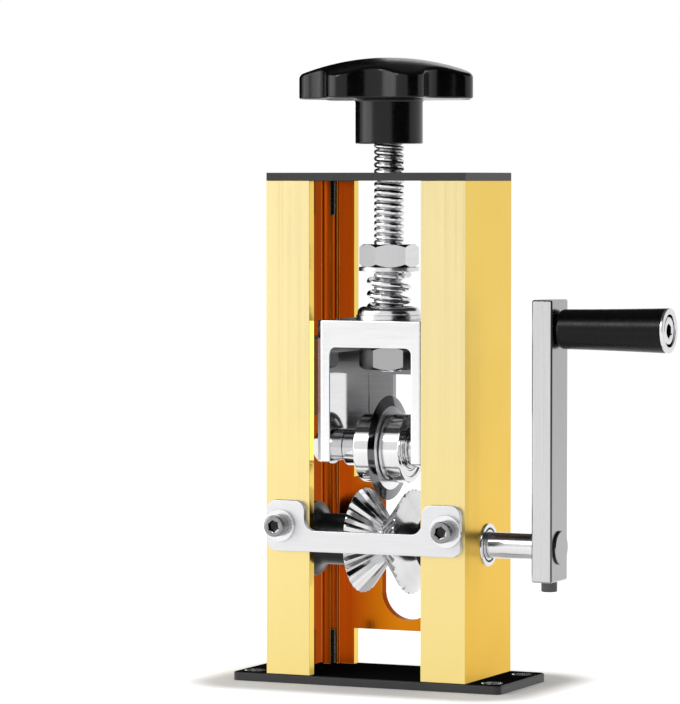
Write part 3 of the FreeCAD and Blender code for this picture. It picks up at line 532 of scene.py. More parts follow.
def socket_screw(name, place, radius, length, head_radius, head_height, hex_size, hex_depth,
                 knurl=0.12 * MM):
    """The mesh of a socket head screw with a knurled head; its head stands along place's Z."""
    count = 72
    chamfer = 0.09 * head_radius
    mouth = hex_size * 0.62
    top = head_height
    floor_height = top - hex_depth

    def ring(z, size, kind="round"):
        points = []
        for i in range(count):
            angle = TURN * i / count
            r = size
            if kind == "knurl" and i % 2:
                r = size - knurl
            if kind == "hex":
                r = hexagon_radius(size, angle)
            points.append(place @ Vector((r * math.cos(angle), r * math.sin(angle), z)))
        return points

    mesh = rings_mesh(name, [
        [place @ Vector((0, 0, -length))],
        ring(-length, radius * 0.8),
        ring(-length + radius * 0.2, radius),
        ring(0, radius),
        ring(0, head_radius - chamfer),
        ring(chamfer * 0.6, head_radius, "knurl"),
        ring(top - chamfer * 1.3, head_radius, "knurl"),
        ring(top - chamfer * 0.9, head_radius - knurl),
        ring(top - chamfer * 0.25, head_radius - chamfer * 0.75),
        ring(top, head_radius - chamfer * 1.6),
        ring(top, mouth),
        ring(top - hex_size * 0.05, hex_size, "hex"),
        ring(floor_height, hex_size, "hex"),
        [place @ Vector((0, 0, floor_height - hex_size * 0.18))],
    ])
    # The hex socket's inner faces take the second material, a painted shade.
    to_local = place.inverted()
    for polygon in mesh.polygons:
        c = to_local @ polygon.center
        if math.hypot(c.x, c.y) < mouth and top - hex_depth * 1.3 < c.z < top - hex_size * 0.06:
            polygon.material_index = 1
    return mesh


def joined(name, meshes):
    """Several meshes as one."""
    work = bmesh.new()
    for mesh in meshes:
        work.from_mesh(mesh)
    out = bpy.data.meshes.new(name)
    work.to_mesh(out)
    work.free()
    for mesh in meshes:
        bpy.data.meshes.remove(mesh)
    return out


def thread_mesh(name, place, root, crest, pitch, z0, z1, profile, count):
    """A thread that winds round place's Z. profile has (share of the pitch, share of the depth)."""
    turns = math.ceil((z1 - z0) / pitch) + 2
    columns = []
    for i in range(count + 1):
        shift = pitch * i / count
        column = []
        for turn in range(-1, turns):
            for share, depth in profile:
                z = z0 + (turn + share) * pitch + shift
                z = min(max(z, z0), z1)
                fade = min(1.0, (z - z0) / (0.7 * pitch), (z1 - z) / (0.7 * pitch))
                column.append((z, root + (crest - root) * depth * max(0.0, fade)))
        columns.append(column)
    work = bmesh.new()
    grid = []
    for i, column in enumerate(columns):
        angle = TURN * i / count
        grid.append([work.verts.new(place @ Vector((r * math.cos(angle), r * math.sin(angle), z)))
                     for z, r in column])
    for a, b in zip(grid, grid[1:]):
        for k in range(len(a) - 1):
            work.faces.new((a[k], b[k], b[k + 1], a[k + 1]))
    bmesh.ops.remove_doubles(work, verts=work.verts, dist=TINY)
    bmesh.ops.dissolve_degenerate(work, edges=work.edges, dist=TINY)
    rims = [edge for edge in work.edges if len(edge.link_faces) == 1]
    bmesh.ops.contextual_create(work, geom=rims)
    bmesh.ops.holes_fill(work, edges=[e for e in work.edges if len(e.link_faces) == 1], sides=0)
    bmesh.ops.recalc_face_normals(work, faces=work.faces)
    mesh = bpy.data.meshes.new(name)
    work.to_mesh(mesh)
    work.free()
    return mesh


# Frame, plates and their screws

FRAME_LOOKS = ["gold", "gold_side_painted_shade", "gold_inside_painted_shade", "gold_rear_painted_glow", "gold_edge", "gold_bevel_painted_shade", "gold_port_painted_shade"]
PLATE_LOOKS = ["plate", "plate_edge", "bare"]
STRAIGHT = 0.99


def frame_extrusion():
    """The extrusion's inner walls and slot edges get tones of their own: painted shade and reflections
    inside, the sides' painted shade on the slot edges, painted shade in the ports and on the corners.
    """
    piece = eased("frame_extrusion", 0.45 * MM, FRAME_LOOKS)
    # The rounded edges take the corners' painted shade.
    piece.modifiers["edges"].material = FRAME_LOOKS.index("gold_bevel_painted_shade")
    port_x = 39.7 * MM
    port_y = 21.8 * MM
    port_reach = 4.3 * MM
    slot_edge = 28.0 * MM
    skin = 0.2 * MM
    outside = high("frame_extrusion") - Vector((skin, skin, 0))

    def tone(c, n):
        if abs(c.y) > outside.y:
            return "gold"
        # Faces on the sides get the sides' painted shade.
        if abs(c.x) > outside.x:
            return "gold_side_painted_shade"
        if abs(abs(c.x) - slot_edge) < skin:
            return "gold_edge"
        # Faces round the screw ports get their painted shade.
        if math.hypot(abs(c.x) - port_x, abs(c.y) - port_y) < port_reach:
            return "gold_port_painted_shade"
        # The rear wall gets painted shade and a painted glow.
        if c.y > 0 and n.y < -0.9:
            return "gold_rear_painted_glow"
        # All other faces are inner walls, with painted shade and reflection.
        return "gold_inside_painted_shade"

    paint(piece, FRAME_LOOKS, tone)
    piece.visible_glossy = False


def plate(node):
    """A plate with matt faces and sawn edges that catch a little more light."""
    piece = eased(node, 0.2 * MM, PLATE_LOOKS)
    paint(piece, PLATE_LOOKS, lambda c, n: "plate" if abs(n.z) > STRAIGHT else "plate_edge")
    return piece


def base_plate():
    """The base plate, with bare metal in its countersunk holes."""
    piece = plate("base_plate")
    piece.visible_glossy = False
    spacing = next(m["dims"] for m in record["mounts"] if m["name"] == "base_bolts")
    hole_x = spacing["spacing_x_mm"] * MM / 2
    hole_y = spacing["spacing_y_mm"] * MM / 2
    hole_reach = 5.3 * MM

    def bare_holes(c, n):
        away = math.hypot(abs(c.x) - hole_x, abs(c.y) - hole_y)
        return "bare" if away < hole_reach and abs(n.z) < STRAIGHT else None

    paint(piece, PLATE_LOOKS, bare_holes)


V_THREAD = [(0.0, 0.0), (0.42, 1.0), (0.58, 1.0), (0.999, 0.0)]
ROUND_THREAD = [(0.0, 0.0), (0.06, 0.12), (0.13, 0.55), (0.21, 0.82), (0.34, 0.96), (0.5, 1.0),
                (0.66, 0.96), (0.79, 0.82), (0.87, 0.55), (0.94, 0.12)]


def plate_screws(node, up):
    """Four countersunk screws with real threads, in the frame's ports."""
    head = 4.0 * MM
    shank = 2.0 * MM
    pitch = 0.7 * MM
    plain = 1.0 * MM
    length = high(node).z - low(node).z
    x = high(node).x - head
    y = high(node).y - head
    meshes = []
    for sx in (-1, 1):
        for sy in (-1, 1):
            top = high(node).z if up > 0 else low(node).z
            place = Matrix.Translation((sx * x, sy * y, top))
            if up < 0:
                place = place @ Matrix.Rotation(math.pi, 4, "X")
            meshes.append(countersunk(node, place, shank, length, head))
            meshes.append(thread_mesh(node, place, shank * 0.8, shank, pitch, -length,
                                      -(head - shank) - plain, V_THREAD, count=32))
    keep(node + "_shown", joined(node, meshes), "oxide", node)


def countersunk(name, place, shank, length, head):
    """The mesh of a countersunk screw with a hexagon socket; its head's face lies at place."""
    count = 48
    core = shank * 0.75
    cone = head - shank
    end = -length + 0.5 * MM
    socket = 2.5 * MM
    socket_floor = -1.5 * MM

    def hexagon(z):
        angles = [TURN * i / count for i in range(count)]
        radii = [hexagon_radius(socket, angle) for angle in angles]
        return [place @ Vector((r * math.cos(angle), r * math.sin(angle), z))
                for angle, r in zip(angles, radii)]

    shape = [(end, core), (-cone - 1.2 * MM, core), (-cone - 1.0 * MM, shank), (-cone, shank),
             (-0.25 * MM, head - 0.2 * MM), (-0.1 * MM, head), (0, head - 0.1 * MM), (0, 1.6 * MM)]
    rings = [[place @ Vector((0, 0, end))]]
    rings += [circle(place, z, radius, count) for z, radius in shape]
    rings += [hexagon(-0.12 * MM), hexagon(socket_floor),
              [place @ Vector((0, 0, socket_floor - 0.4 * MM))]]
    return rings_mesh(name, rings)


def guide_bar():
    """The bar with its two cap screws and their washers."""
    eased("guide_bar", 0.35 * MM, "guide", steps=3)
    head_radius = 5.0 * MM
    head_height = 6.0 * MM
    front = low("guide_bar_screws").y
    screw_x = high("guide_bar_screws").x - head_radius
    z = centre("guide_bar_screws").z
    a, b, radius = along_axis("guide_bar_washers", "Y", Vector((0, 0, 0)))
    outline = eased_corners(tube_profile(a, b, 3.1 * MM, 7.6 * MM), 0.25 * MM)
    screws = []
    washers = []
    for sx in (-1, 1):
        place = Matrix.Translation((sx * screw_x, front + head_height, z)) @ \
            Matrix.Rotation(math.pi / 2, 4, "X") @ Matrix.Rotation(0.35 * sx, 4, "Z")
        screws.append(socket_screw("guide_bar_screws", place, 3.0 * MM, 8.0 * MM, head_radius,
                                   head_height, 5.0 * MM, 3.0 * MM))
        place = Matrix.Translation((sx * screw_x, 0, z)) @ AXES["Y"]
        washers.append(hoop_mesh("guide_bar_washers", outline, place))
    keep("guide_bar_screws_shown", joined("guide_bar_screws", screws), ["cap", "socket"],
         "guide_bar_screws")
    weighted(keep("guide_bar_washers_shown", joined("guide_bar_washers", washers), "plated",
                  "guide_bar_washers"))


# Drive: shaft, wheels, collars, bearings, crank and handle

SHAFT_LOOKS = ["shaft", "oxide", "arm_side_painted_shade"]
WHEEL_LOOKS = ["wheel", "wheel_flat_painted_shade"]
ARM_LOOKS = ["arm", "arm_side_painted_shade", "arm_corner_painted_reflection"]


def drive():
    drive_shaft()
    eased("shaft_clip", 0.1 * MM, "thread")
    eased("wheel_key", 0.1 * MM, "shaft")
    for side in ("left", "right"):
        feed_wheel(side)
        collar(side)
        wall_bearing(side)
    crank_arm()
    clamp_screw()
    handle()


def drive_shaft():
    """The shaft with its clip's groove at the left and the round head beside the arm."""
    a, b = low("drive_shaft").x, high("drive_shaft").x
    r = 6.0 * MM
    head = 7.75 * MM
    head_chamfer = 0.35 * MM
    chamfer = 0.7 * MM
    dimple = 1.4 * MM
    groove = r - 0.5 * MM
    arm_face = high("crank_arm").x
    clip = low("shaft_clip").x
    clip_end = high("shaft_clip").x
    profile = [(a + dimple, 0), (a, dimple), (a, r - chamfer), (a + chamfer, r), (clip, r),
               (clip, groove), (clip_end, groove), (clip_end, r), (arm_face, r), (arm_face, head),
               (b - head_chamfer, head), (b, head - head_chamfer), (b, 0)]
    shaft = turned("drive_shaft_shown", profile, "X", Vector((0, 0, drive_height)), SHAFT_LOOKS,
                   "drive_shaft", ease=0.05 * MM)

    # The head's face takes the arm sides' painted shade, and its rim the black oxide as a painted
    # shadow.
    def head_painted_shade(c, n):
        if c.x <= arm_face + 0.01 * MM:
            return None
        return "arm_side_painted_shade" if n.x > 0.5 else "oxide"

    paint(shaft, SHAFT_LOOKS, head_painted_shade)


def feed_wheel(side):
    """A ground wheel whose flat faces, turned on the lathe, carry a painted shade."""
    wheel = eased("feed_wheel_" + side, 0.08 * MM, WHEEL_LOOKS, steps=1, angle=14.0)
    paint(wheel, WHEEL_LOOKS, lambda c, n: "wheel_flat_painted_shade" if abs(n.x) > 0.95 else None)


def crank_arm():
    """The arm, with a painted shade on its sides and a painted dark reflection down its front corner.
    """
    arm = eased("crank_arm", 0.3 * MM, ARM_LOOKS, angle=20.0)

    def tone(c, n):
        if abs(n.x) > 0.9:
            return "arm_side_painted_shade"
        if n.x > 0.5 and abs(n.y) > 0.5:
            return "arm_corner_painted_reflection"
        return None

    paint(arm, ARM_LOOKS, tone)


def collar(side):
    """A black collar whose barrel flares into a flange near the frame's wall."""
    node = "shaft_collar_" + side
    inner_x, outer_x = side_span(node)
    rim = half_height(node)
    bore = 6.1 * MM
    barrel = 12.0 * MM
    barrel_length = 12.5 * MM
    flare = rim - barrel
    flange = 6.2 * MM
    nose = 7.0 * MM
    near_chamfer = 0.3 * MM
    far_chamfer = 0.8 * MM
    start = inner_x + barrel_length
    outline = [(inner_x, bore), (inner_x, barrel - near_chamfer), (inner_x + near_chamfer, barrel)]
    steps = 12
    for k in range(steps + 1):
        angle = math.pi / 2 * k / steps
        outline.append((start + flare * math.sin(angle), rim - flare * math.cos(angle)))
    end = start + flare + flange
    outline += [(end - far_chamfer, rim), (end, rim - far_chamfer), (end, nose), (outer_x, nose),
                (outer_x, bore)]
    turned(node + "_shown", outline, "X", Vector((0, 0, drive_height)), "collar", node,
           ease=0.12 * MM, mirror=side == "left")


def wall_bearing(side):
    """The flanged bearing in one side wall: outer ring, inner ring and the CAD's own balls."""
    mirror = side == "left"
    origin = Vector((0, 0, drive_height))
    node = "wall_bearing_outer_" + side
    x0, x1 = side_span(node)
    wall = high("frame_extrusion").x
    inside = 8.0 * MM
    body = 9.0 * MM
    flange = 9.9 * MM
    outline = [(x0, inside), (x0, body), (wall, body), (wall, flange), (x1, flange), (x1, inside)]
    turned(node + "_shown", outline, "X", origin, "shaft", node, ease=0.15 * MM, mirror=mirror)
    node = "wall_bearing_inner_" + side
    turned(node + "_shown", tube_profile(x0, x1, 6.05 * MM, 7.1 * MM), "X", origin, "shaft", node,
           ease=0.15 * MM, mirror=mirror)
    dress("wall_bearing_balls_" + side)


def dress(node):
    """Gives a CAD piece that is shown as it is the bearings' steel."""
    mesh = nodes[node].data
    mesh.materials.clear()
    mesh.materials.append(look["bearing"])


def clamp_screw():
    node = "arm_clamp_screw"
    c = centre(node)
    head_radius = (high(node).x - low(node).x) / 2
    head_height = 4.8 * MM
    length = high(node).z - low(node).z - head_height
    place = Matrix.Translation((c.x, c.y, low(node).z + head_height)) @ \
        Matrix.Rotation(math.pi, 4, "X")
    mesh = socket_screw(node, place, 2.5 * MM, length, head_radius, head_height, 3.0 * MM,
                        2.5 * MM, knurl=0)
    keep(node + "_shown", mesh, ["dark", "socket"], node)


def handle():
    """The grip with a rounded shoulder and a slow swell, its end ring and the bolt through it."""
    c = centre("handle_grip")
    origin = Vector((0, c.y, c.z))
    a, b = low("handle_grip").x, high("handle_grip").x
    bore = 4.1 * MM
    small = 9.1 * MM
    large = half_height("handle_grip")
    shoulder = 2.5 * MM
    outline = [(a, bore), (a, small - shoulder)]
    arcs = 8
    for k in range(1, arcs):
        angle = math.pi / 2 * k / arcs
        outline.append((a + shoulder * (1 - math.cos(angle)), small - shoulder * (1 - math.sin(angle))))
    steps = 12
    for k in range(steps + 1):
        t = k / steps
        outline.append((a + shoulder + (b - a - shoulder) * t,
                        small + (large - small) * (0.6 * t + 0.4 * t * t)))
    ring_end = high("grip_end_ring").x
    well_radius = 7.4 * MM
    well = ring_end - 8.5 * MM
    outline += [(b, well_radius), (well, well_radius), (well, bore)]
    turned("handle_grip_shown", outline, "X", origin, "grip", "handle_grip", ease=0.1 * MM)
    ring_radius = half_height("grip_end_ring")
    outline = tube_profile(low("grip_end_ring").x, ring_end, well_radius, ring_radius)
    turned("grip_end_ring_shown", outline, "X", origin, "plated", "grip_end_ring", ease=0.45 * MM)
    bolt_along_x("handle_bolt", c.y, c.z)


def bolt_along_x(node, y, z):
    """An M8 socket head bolt that lies along X with its head at the right."""
    head_height = 8.0 * MM
    end = high(node).x
    place = Matrix.Translation((end - head_height, y, z)) @ Matrix.Rotation(math.pi / 2, 4, "Y")
    length = end - head_height - low(node).x
    mesh = socket_screw(node, place, 4.0 * MM, length, 6.5 * MM, head_height, 6.0 * MM, 4.0 * MM)
    keep(node + "_shown", mesh, ["plated", "socket"], node)


# Adjusting screw, nuts and star knob

def adjusting_screw():
    """A left-hand screw: a right-hand thread, mirrored from front to back."""
    node = "adjusting_screw"
    root = 5.3 * MM
    crest = 7.0 * MM
    lead = 3.0 * MM
    mesh = thread_mesh(node, Matrix.Identity(4), root, crest, lead, low(node).z, high(node).z,
                       ROUND_THREAD, count=96)
    for vertex in mesh.vertices:
        vertex.co.y = -vertex.co.y
    mesh.flip_normals()
    keep(node + "_shown", mesh, "thread", node, flat_angle=28.0)


KNOB_LOBES = 7
KNOB_TIP = 41.7 * MM
KNOB_WAIST = 33.5 * MM
LOBE_RADIUS = 9.0 * MM
KNOB_TURN = math.radians(-1.1)
KNOB_DOME = 8.1 * MM


def arc_points(middle, radius, start, end, count, outward):
    """Points on an arc, each with the direction that leads out of the knob there."""
    points = []
    for k in range(count):
        angle = start + (end - start) * k / count
        ray = Vector((math.cos(angle), math.sin(angle)))
        points.append((middle + ray * radius, ray * outward))
    return points


def from_x(vector):
    return vector.angle_signed(Vector((1, 0)))


def star_outline(per_arc=12):
    """Points and outward directions round the knob: seven round lobes joined by hollows."""
    step = TURN / KNOB_LOBES
    lobe = LOBE_RADIUS
    far = KNOB_TIP - lobe
    cosine = math.cos(step / 2)
    hollow = (far ** 2 + KNOB_WAIST ** 2 - 2 * far * KNOB_WAIST * cosine - lobe ** 2) / \
        (2 * (lobe + far * cosine - KNOB_WAIST))
    deep = KNOB_WAIST + hollow

    def at(radius, angle):
        return Vector((radius * math.cos(angle), radius * math.sin(angle)))

    points = []
    for i in range(KNOB_LOBES):
        a = KNOB_TURN + i * step
        lobe_c = at(far, a)
        hollow_c = at(deep, a + step / 2)
        start = from_x(at(deep, a - step / 2) - lobe_c)
        end = from_x(hollow_c - lobe_c)
        while end < start:
            end += TURN
        points += arc_points(lobe_c, lobe, start, end, 2 * per_arc, 1)
        start = from_x(lobe_c - hollow_c)
        end = from_x(at(far, a + step) - hollow_c)
        while end > start:
            end -= TURN
        points += arc_points(hollow_c, hollow, start, end, per_arc, -1)
    return points


def knob_hub(outline, bottom, hub_top):
    """Rings from the screw's bore round the hub's foot and up to the knob's underside."""
    bore = 7.05 * MM
    bore_top = bottom + 3.0 * MM
    radius = 15.65 * MM
    profile = [(bore_top, bore), (bottom, bore), (bottom, radius - 0.6 * MM),
               (bottom + 0.18 * MM, radius - 0.2 * MM), (bottom + 0.6 * MM, radius),
               (hub_top - 1.5 * MM, radius), (hub_top - 0.45 * MM, radius + 0.45 * MM),
               (hub_top, radius + 1.5 * MM)]
    directions = [p.normalized() for p, _ in outline]
    rings = [[Vector((0, 0, bore_top))]]
    for z, r in profile:
        rings.append([Vector((d.x * r, d.y * r, z)) for d in directions])
    return rings


def knob_wall(outline, hub_top, height):
    """Rings up the lobes' walls and over their rounded upper edge."""
    rings = []
    for inset, rise in ((1.0 * MM, 0.0), (0.3 * MM, 0.25 * MM), (0.0, 0.9 * MM)):
        rings.append([Vector((p.x - n.x * inset, p.y - n.y * inset, hub_top + rise))
                      for p, n in outline])
    fillet = 1.8 * MM
    steps = 6
    for k in range(steps + 1):
        angle = math.pi / 2 * k / steps
        inset = fillet * (1 - math.cos(angle))
        drop = fillet * (1 - math.sin(angle))
        ring = []
        for p, n in outline:
            x, y = p.x - n.x * inset, p.y - n.y * inset
            ring.append(Vector((x, y, height(x, y) - drop)))
        rings.append(ring)
    return rings


def star_knob():
    node = "star_knob"
    bottom = low(node).z
    top = high(node).z
    hub_top = bottom + 20.6 * MM
    sphere = (KNOB_TIP ** 2 + KNOB_DOME ** 2) / (2 * KNOB_DOME)

    def height(x, y):
        return top - sphere + math.sqrt(sphere ** 2 - x * x - y * y)

    outline = star_outline()
    rings = knob_hub(outline, bottom, hub_top) + knob_wall(outline, hub_top, height)
    edge = rings[-1]
    steps = 14
    for k in range(1, steps):
        share = 1 - k / steps
        rings.append([Vector((v.x * share, v.y * share, height(v.x * share, v.y * share)))
                      for v in edge])
    rings.append([Vector((0, 0, top))])
    weighted(keep(node + "_shown", rings_mesh(node, rings), "gloss", node, flat_angle=40.0))


def nuts():
    """Both nuts; the lower one stands in the carriage's shade. Their chamfers are darker, a painted
    shade.
    """
    for node, face in (("upper_nut", "plated"), ("lower_nut", "nut_shaded")):
        looks = [face, "nut_chamfer_painted_shade"]
        nut = eased(node, 0.5 * MM, looks, angle=25.0)
        nut.modifiers["edges"].material = looks.index("nut_chamfer_painted_shade")
        paint(nut, looks, lambda c, n: "nut_chamfer_painted_shade" if 0.15 < abs(n.z) < 0.95 else None)


# Spring and its seats

def spring():
    """A round wire on a helix."""
    node = "compression_spring"
    wire = 1.5 * MM
    radius = (high(node).x - low(node).x) / 2 - wire
    z_top = high(node).z - wire
    z_bottom = low(node).z + wire
    turns = 2.75
    start = math.radians(15.0)
    steps = 132
    sides = 24
    end_size = 0.86
    slope = (z_top - z_bottom) / (turns * TURN * radius)
    stations = [(0, end_size)] + [(i, 1.0) for i in range(steps + 1)] + [(steps, end_size)]
    rings = []
    for index, size in stations:
        t = index / steps
        angle = start + TURN * turns * t
        out = Vector((math.cos(angle), math.sin(angle), 0))
        along = Vector((-math.sin(angle), math.cos(angle), -slope)).normalized()
        up = along.cross(out).normalized()
        middle = out * radius + Vector((0, 0, z_top + (z_bottom - z_top) * t))
        rings.append([middle + (out * math.cos(TURN * k / sides) + up * math.sin(TURN * k / sides))
                      * wire * size for k in range(sides)])
    first = sum(rings[0], Vector()) / sides
    last = sum(rings[-1], Vector()) / sides
    piece = keep(node + "_shown", rings_mesh(node, [[first]] + rings + [[last]]), "spring", node)
    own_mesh(piece)


def spring_seats():
    """The washer over the spring, the washer on the carriage and the cup between them."""
    origin = Vector((0, 0, 0))
    bore = 7.05 * MM
    loose = 7.5 * MM
    for node, inner in (("upper_washer", bore), ("seat_washer", loose)):
        a, b, radius = along_axis(node, "Z", origin)
        turned(node + "_shown", tube_profile(a, b, inner, radius), "Z", origin, "plated", node,
               ease=0.3 * MM)
    node = "spring_cup"
    a, b, radius = along_axis(node, "Z", origin)
    round_edge = 3.0 * MM
    well = 10.8 * MM
    well_floor = a + 0.8 * MM
    outline = [(a, loose), (a, radius)]
    steps = 8
    for k in range(steps + 1):
        angle = math.pi / 2 * k / steps
        outline.append((b - round_edge * (1 - math.sin(angle)),
                        radius - round_edge * (1 - math.cos(angle))))
    outline += [(b, well), (well_floor, well), (well_floor, loose)]
    turned(node + "_shown", outline, "Z", origin, "plated", node, ease=0.15 * MM)


# Carriage, blade and the bearings beside it

BLOCK_LOOKS = ["block", "block_leg", "block_inner_painted_shade", "block_ear_painted_reflection"]


def carriage_block():
    """Its window's legs are polished, the milled faces inside its window carry a painted shade and its
    ears, which stand in the channels, carry a painted reflection of their gold.
    """
    block = eased("carriage_block", 0.6 * MM, BLOCK_LOOKS, steps=3)
    front = low("carriage_block").y
    rear = high("carriage_block").y
    leg_outside = 27.8 * MM
    leg_inside = 20.4 * MM
    skin = 0.1 * MM

    def tone(c, n):
        if abs(c.x) > leg_outside + skin:
            return "block_ear_painted_reflection"
        if abs(abs(c.x) - leg_inside) < skin and abs(n.x) > 0.9:
            return "block_leg"
        if front + skin < c.y < rear - skin and abs(c.x) < leg_inside and n.z < 0.5:
            return "block_inner_painted_shade"
        return None

    paint(block, BLOCK_LOOKS, tone)


def carriage():
    """The sliding block and the axle that carries the blade."""
    carriage_block()
    bolt_along_x("axle_bolt", 0, blade_height)
    eased("axle_nut", 0.3 * MM, "plated", angle=25.0)
    eased("axle_washers", 0.2 * MM, "plated")
    axis = Vector((0, 0, blade_height))
    a, b, radius = along_axis("axle_sleeve", "X", axis)
    turned("axle_sleeve_shown", tube_profile(a, b, 4.05 * MM, radius), "X", axis, "bearing",
           "axle_sleeve")
    eased("axle_spacers", 0.4 * MM, "bearing", steps=3)


BLADE_LOOKS = ["blade", "painted_dark_blade_rim"]


def blade():
    """A disc whose rim is ground to an edge; the ground rim carries a painted dark reflection."""
    node = "cutting_blade"
    half = high(node).x
    radius = half_height(node)
    bore = 6.05 * MM
    ground = radius - 5.0 * MM
    tip = 0.15 * MM
    tip_radius = radius - 0.1 * MM
    outline = [(-half, bore), (-half, ground), (-tip, tip_radius), (0, radius), (tip, tip_radius),
               (half, ground), (half, bore)]
    disc = turned(node + "_shown", outline, "X", Vector((0, 0, blade_height)), BLADE_LOOKS, node,
                  ease=0.02 * MM, count=192, flat_angle=8.0)
    # The ground rim takes the painted dark reflection.
    painted_rim_starts = ground + 0.1 * MM
    paint(disc, BLADE_LOOKS,
          lambda c, n: "painted_dark_blade_rim" if math.hypot(c.y, c.z - blade_height) > painted_rim_starts else None)


def rollers():
    """The ball bearing on each side of the blade, whose outer rings roll on the cable."""
    axis = Vector((0, 0, blade_height))
    inside = 12.9 * MM
    groove_half = 2.4 * MM
    groove_depth = 1.1 * MM
    steps = 8
    for side in ("left", "right"):
        mirror = side == "left"
        outer = "roller_outer_ring_" + side
        x0, x1 = side_span(outer)
        radius = half_height(outer)
        middle = (x0 + x1) / 2
        outline = tube_profile(x0, x1, inside, radius)
        for k in range(steps + 1):
            t = -1 + 2 * k / steps
            outline.append((middle - t * groove_half, inside + groove_depth * (1 - t * t)))
        turned(outer + "_shown", outline, "X", axis, "bearing", outer, ease=0.8 * MM, mirror=mirror,
               count=160)
        inner = "roller_inner_ring_" + side
        turned(inner + "_shown", tube_profile(x0, x1, 6.05 * MM, 9.1 * MM), "X", axis, "bearing", inner,
               ease=0.4 * MM, mirror=mirror)
        shields(side, x0, x1, mirror)
        dress("roller_balls_" + side)
        dress("roller_cage_" + side)


def shields(side, x0, x1, mirror):
    """Thin dished rings that close the gap between a bearing's rings on both faces."""
    node = "roller_shields_" + side
    sign = -1 if mirror else 1
    place = Matrix.Translation((0, 0, blade_height)) @ AXES["X"]
    thick = 0.5 * MM
    sunk = 0.35 * MM
    dish_depth = 0.2 * MM
    inner = 9.4 * MM
    outer = 12.9 * MM
    meshes = []
    for start, outward in ((x0 + sunk, -1), (x1 - sunk - thick, 1)):
        face = start if outward < 0 else start + thick
        back = face - outward * thick
        dish = face - outward * dish_depth
        outline = [(back, inner), (dish, inner), (dish, 10.1 * MM), (face, 10.5 * MM),
                   (face, 12.0 * MM), (dish, 12.4 * MM), (dish, outer), (back, outer)]
        outline = [(along * sign, radius) for along, radius in eased_corners(outline, 0.12 * MM)]
        meshes.append(hoop_mesh(node, outline, place))
    weighted(keep(node + "_shown", joined(node, meshes), "bearing", node))


frame_extrusion()
base_plate()
plate("top_plate")
plate_screws("top_plate_screws", 1)
plate_screws("base_plate_screws", -1)
guide_bar()
drive()
adjusting_screw()
star_knob()
nuts()
spring()
spring_seats()
carriage()
blade()
rollers()


# Stage, light and camera

GLOW_NEAR = 0.58
GLOW_FAR = 0.66
GLOW_RISES = 0.2
GLOW_RISEN = 1.0
SHADOW_SET_IN = 12 * MM
SHADOW_FULL = 18 * MM
SHADOW_GONE = 38 * MM
SHADOW_DEPTH = 0.56
WHITE = (1, 1, 1, 1)


def seen_directly(tree):
    """One for camera, glossy and transmission rays, which see the white background, else zero."""
    path = tree.node("ShaderNodeLightPath").outputs
    either = tree.math("MAXIMUM", path["Is Camera Ray"], path["Is Glossy Ray"])
    return tree.math("MAXIMUM", either, path["Is Transmission Ray"])


def glow_by_distance(tree):
    """The floor glows a little more away from the object, where the lamps don't reach it."""
    place = tree.place()
    away = tree.node("ShaderNodeVectorMath", operation="LENGTH")
    tree.link(place, away.inputs[0])
    reach = tree.spread(away.outputs["Value"], GLOW_NEAR, GLOW_FAR, GLOW_RISES, GLOW_RISEN)
    return tree.math("SUBTRACT", reach, near_the_base(tree, place))


def near_the_base(tree, place):
    """A painted shadow round the base plate: what the camera misses of the glow close to it, so that
    its shadow shows.
    """
    def step(operation, first, second=None):
        made = tree.node("ShaderNodeVectorMath", operation=operation)
        tree.link(first, made.inputs[0])
        if second:
            made.inputs[1].default_value = second
        return made.outputs

    foot = high("base_plate")
    beyond = step("SUBTRACT", step("ABSOLUTE", place)[0], (foot.x - SHADOW_SET_IN, foot.y, 0))
    outside = step("MAXIMUM", beyond[0], (0, 0, 0))
    distance = step("LENGTH", outside[0])["Value"]
    fade = tree.spread(distance, SHADOW_DEPTH, 0.0, SHADOW_FULL, SHADOW_GONE)
    fade.node.interpolation_type = "SMOOTHSTEP"
    path = tree.node("ShaderNodeLightPath").outputs
    return tree.math("MULTIPLY", fade, path["Is Camera Ray"])


def floor():
    mesh = bpy.data.meshes.new("floor")
    size = 6.0
    mesh.from_pydata([(-size, -size, 0), (size, -size, 0), (size, size, 0), (-size, size, 0)], [],
                     [(0, 1, 2, 3)])
    plane = bpy.data.objects.new("floor", mesh)
    bpy.context.scene.collection.objects.link(plane)
    material = bpy.data.materials.new("white_floor")
    tree = Tree(material)
    tree.tree.nodes.clear()
    matt = tree.node("ShaderNodeBsdfDiffuse")
    matt.inputs["Color"].default_value = (0.8, 0.8, 0.8, 1)
    glow = tree.node("ShaderNodeEmission")
    tree.link(glow_by_distance(tree), glow.inputs["Strength"])
    both = tree.node("ShaderNodeAddShader")
    tree.link(matt.outputs[0], both.inputs[0])
    tree.link(glow.outputs[0], both.inputs[1])
    out = tree.node("ShaderNodeOutputMaterial")
    tree.link(tree.mixed(seen_directly(tree), matt.outputs[0], both.outputs[0]), out.inputs["Surface"])
    mesh.materials.append(material)


def world():
    made = bpy.data.worlds.new("studio")
    bpy.context.scene.world = made
    tree = Tree(made)
    tree.tree.nodes.clear()

    def sky(strength):
        background = tree.node("ShaderNodeBackground")
        background.inputs["Color"].default_value = WHITE
        background.inputs["Strength"].default_value = strength
        return background.outputs[0]

    out = tree.node("ShaderNodeOutputWorld")
    tree.link(tree.mixed(seen_directly(tree), sky(0.45), sky(1.0)), out.inputs["Surface"])


def lamp(name, place, aim, size, power):
    data = bpy.data.lights.new(name, "AREA")
    data.shape = "RECTANGLE"
    data.size, data.size_y = size
    data.energy = power
    made = bpy.data.objects.new(name, data)
    bpy.context.scene.collection.objects.link(made)
    made.location = place
    made.rotation_euler = (Vector(aim) - Vector(place)).to_track_quat("-Z", "Y").to_euler()


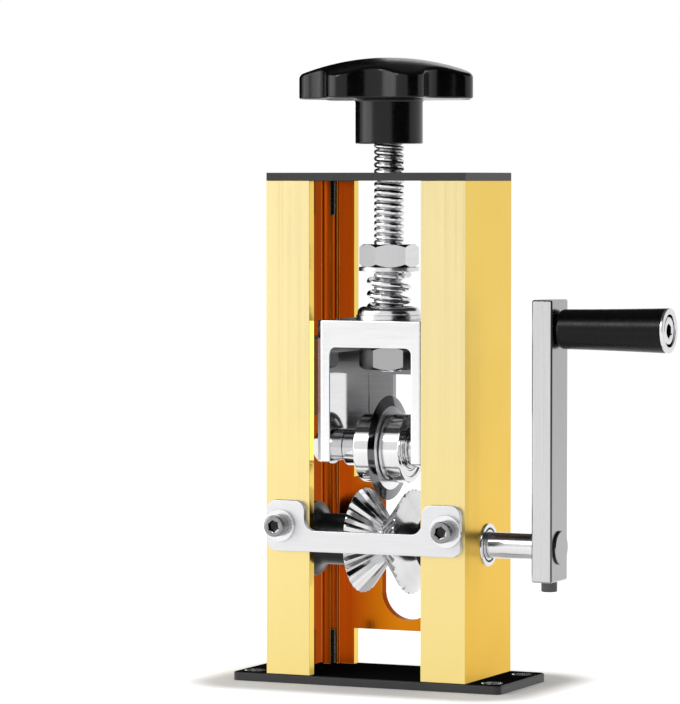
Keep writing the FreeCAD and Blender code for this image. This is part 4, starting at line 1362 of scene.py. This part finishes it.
def camera():
    data = bpy.data.cameras.new("camera")
    data.lens = 206.66
    data.sensor_width = 36.0
    made = bpy.data.objects.new("camera", data)
    bpy.context.scene.collection.objects.link(made)
    made.location = (0.7617, -1.7161, 0.2331)
    made.rotation_euler = (math.radians(87.57), 0.0, math.radians(24.63))
    bpy.context.scene.camera = made


def side_flag(name, angle, distance, width, z0, z1):
    """A standing black card: polished metal needs something dark to mirror."""
    a = math.radians(angle)
    out = Vector((math.cos(a), math.sin(a), 0)) * distance
    along = Vector((-math.sin(a), math.cos(a), 0)) * width / 2
    flag(name, [out - along + Vector((0, 0, z0)), out + along + Vector((0, 0, z0)),
                out + along + Vector((0, 0, z1)), out - along + Vector((0, 0, z1))])


def flag(name, corners, tone=0.0):
    """A card that only polished faces see, black or a dark grey."""
    mesh = bpy.data.meshes.new(name)
    mesh.from_pydata(corners, [], [(0, 1, 2, 3)])
    card = bpy.data.objects.new(name, mesh)
    bpy.context.scene.collection.objects.link(card)
    material = bpy.data.materials.new(name)
    material.use_nodes = True
    shader = material.node_tree.nodes["Principled BSDF"]
    shader.inputs["Base Color"].default_value = (0.004, 0.004, 0.004, 1)
    shader.inputs["Specular IOR Level"].default_value = 0.0
    shader.inputs["Roughness"].default_value = 0.9
    shader.inputs["Emission Color"].default_value = WHITE
    shader.inputs["Emission Strength"].default_value = tone
    mesh.materials.append(material)
    card.visible_camera = False
    card.visible_diffuse = False
    card.visible_shadow = False


floor()
world()
side_flag("flag_left", 146.0, 1.6, 1.97, 0.0, 2.2)
side_flag("flag_right", -24.5, 1.7, 2.16, 0.0, 2.2)
flag("flag_over", [(-1.8, -0.9, 1.3), (1.8, -0.9, 1.3), (1.8, 2.5, 1.3), (-1.8, 2.5, 1.3)], tone=0.05)
lamp("key", (-0.9, -1.6, 1.25), (0, 0, 0.15), (0.55, 0.55), 8.0)
lamp("strip", (-1.30, -0.844, 0.55), (0, 0, 0.25), (1.2, 1.1), 9.0)
lamp("top", (0.1, 0.3, 1.7), (0, 0, 0.15), (1.2, 1.2), 5.0)
camera()
bpy.context.scene.view_settings.view_transform = "Standard"
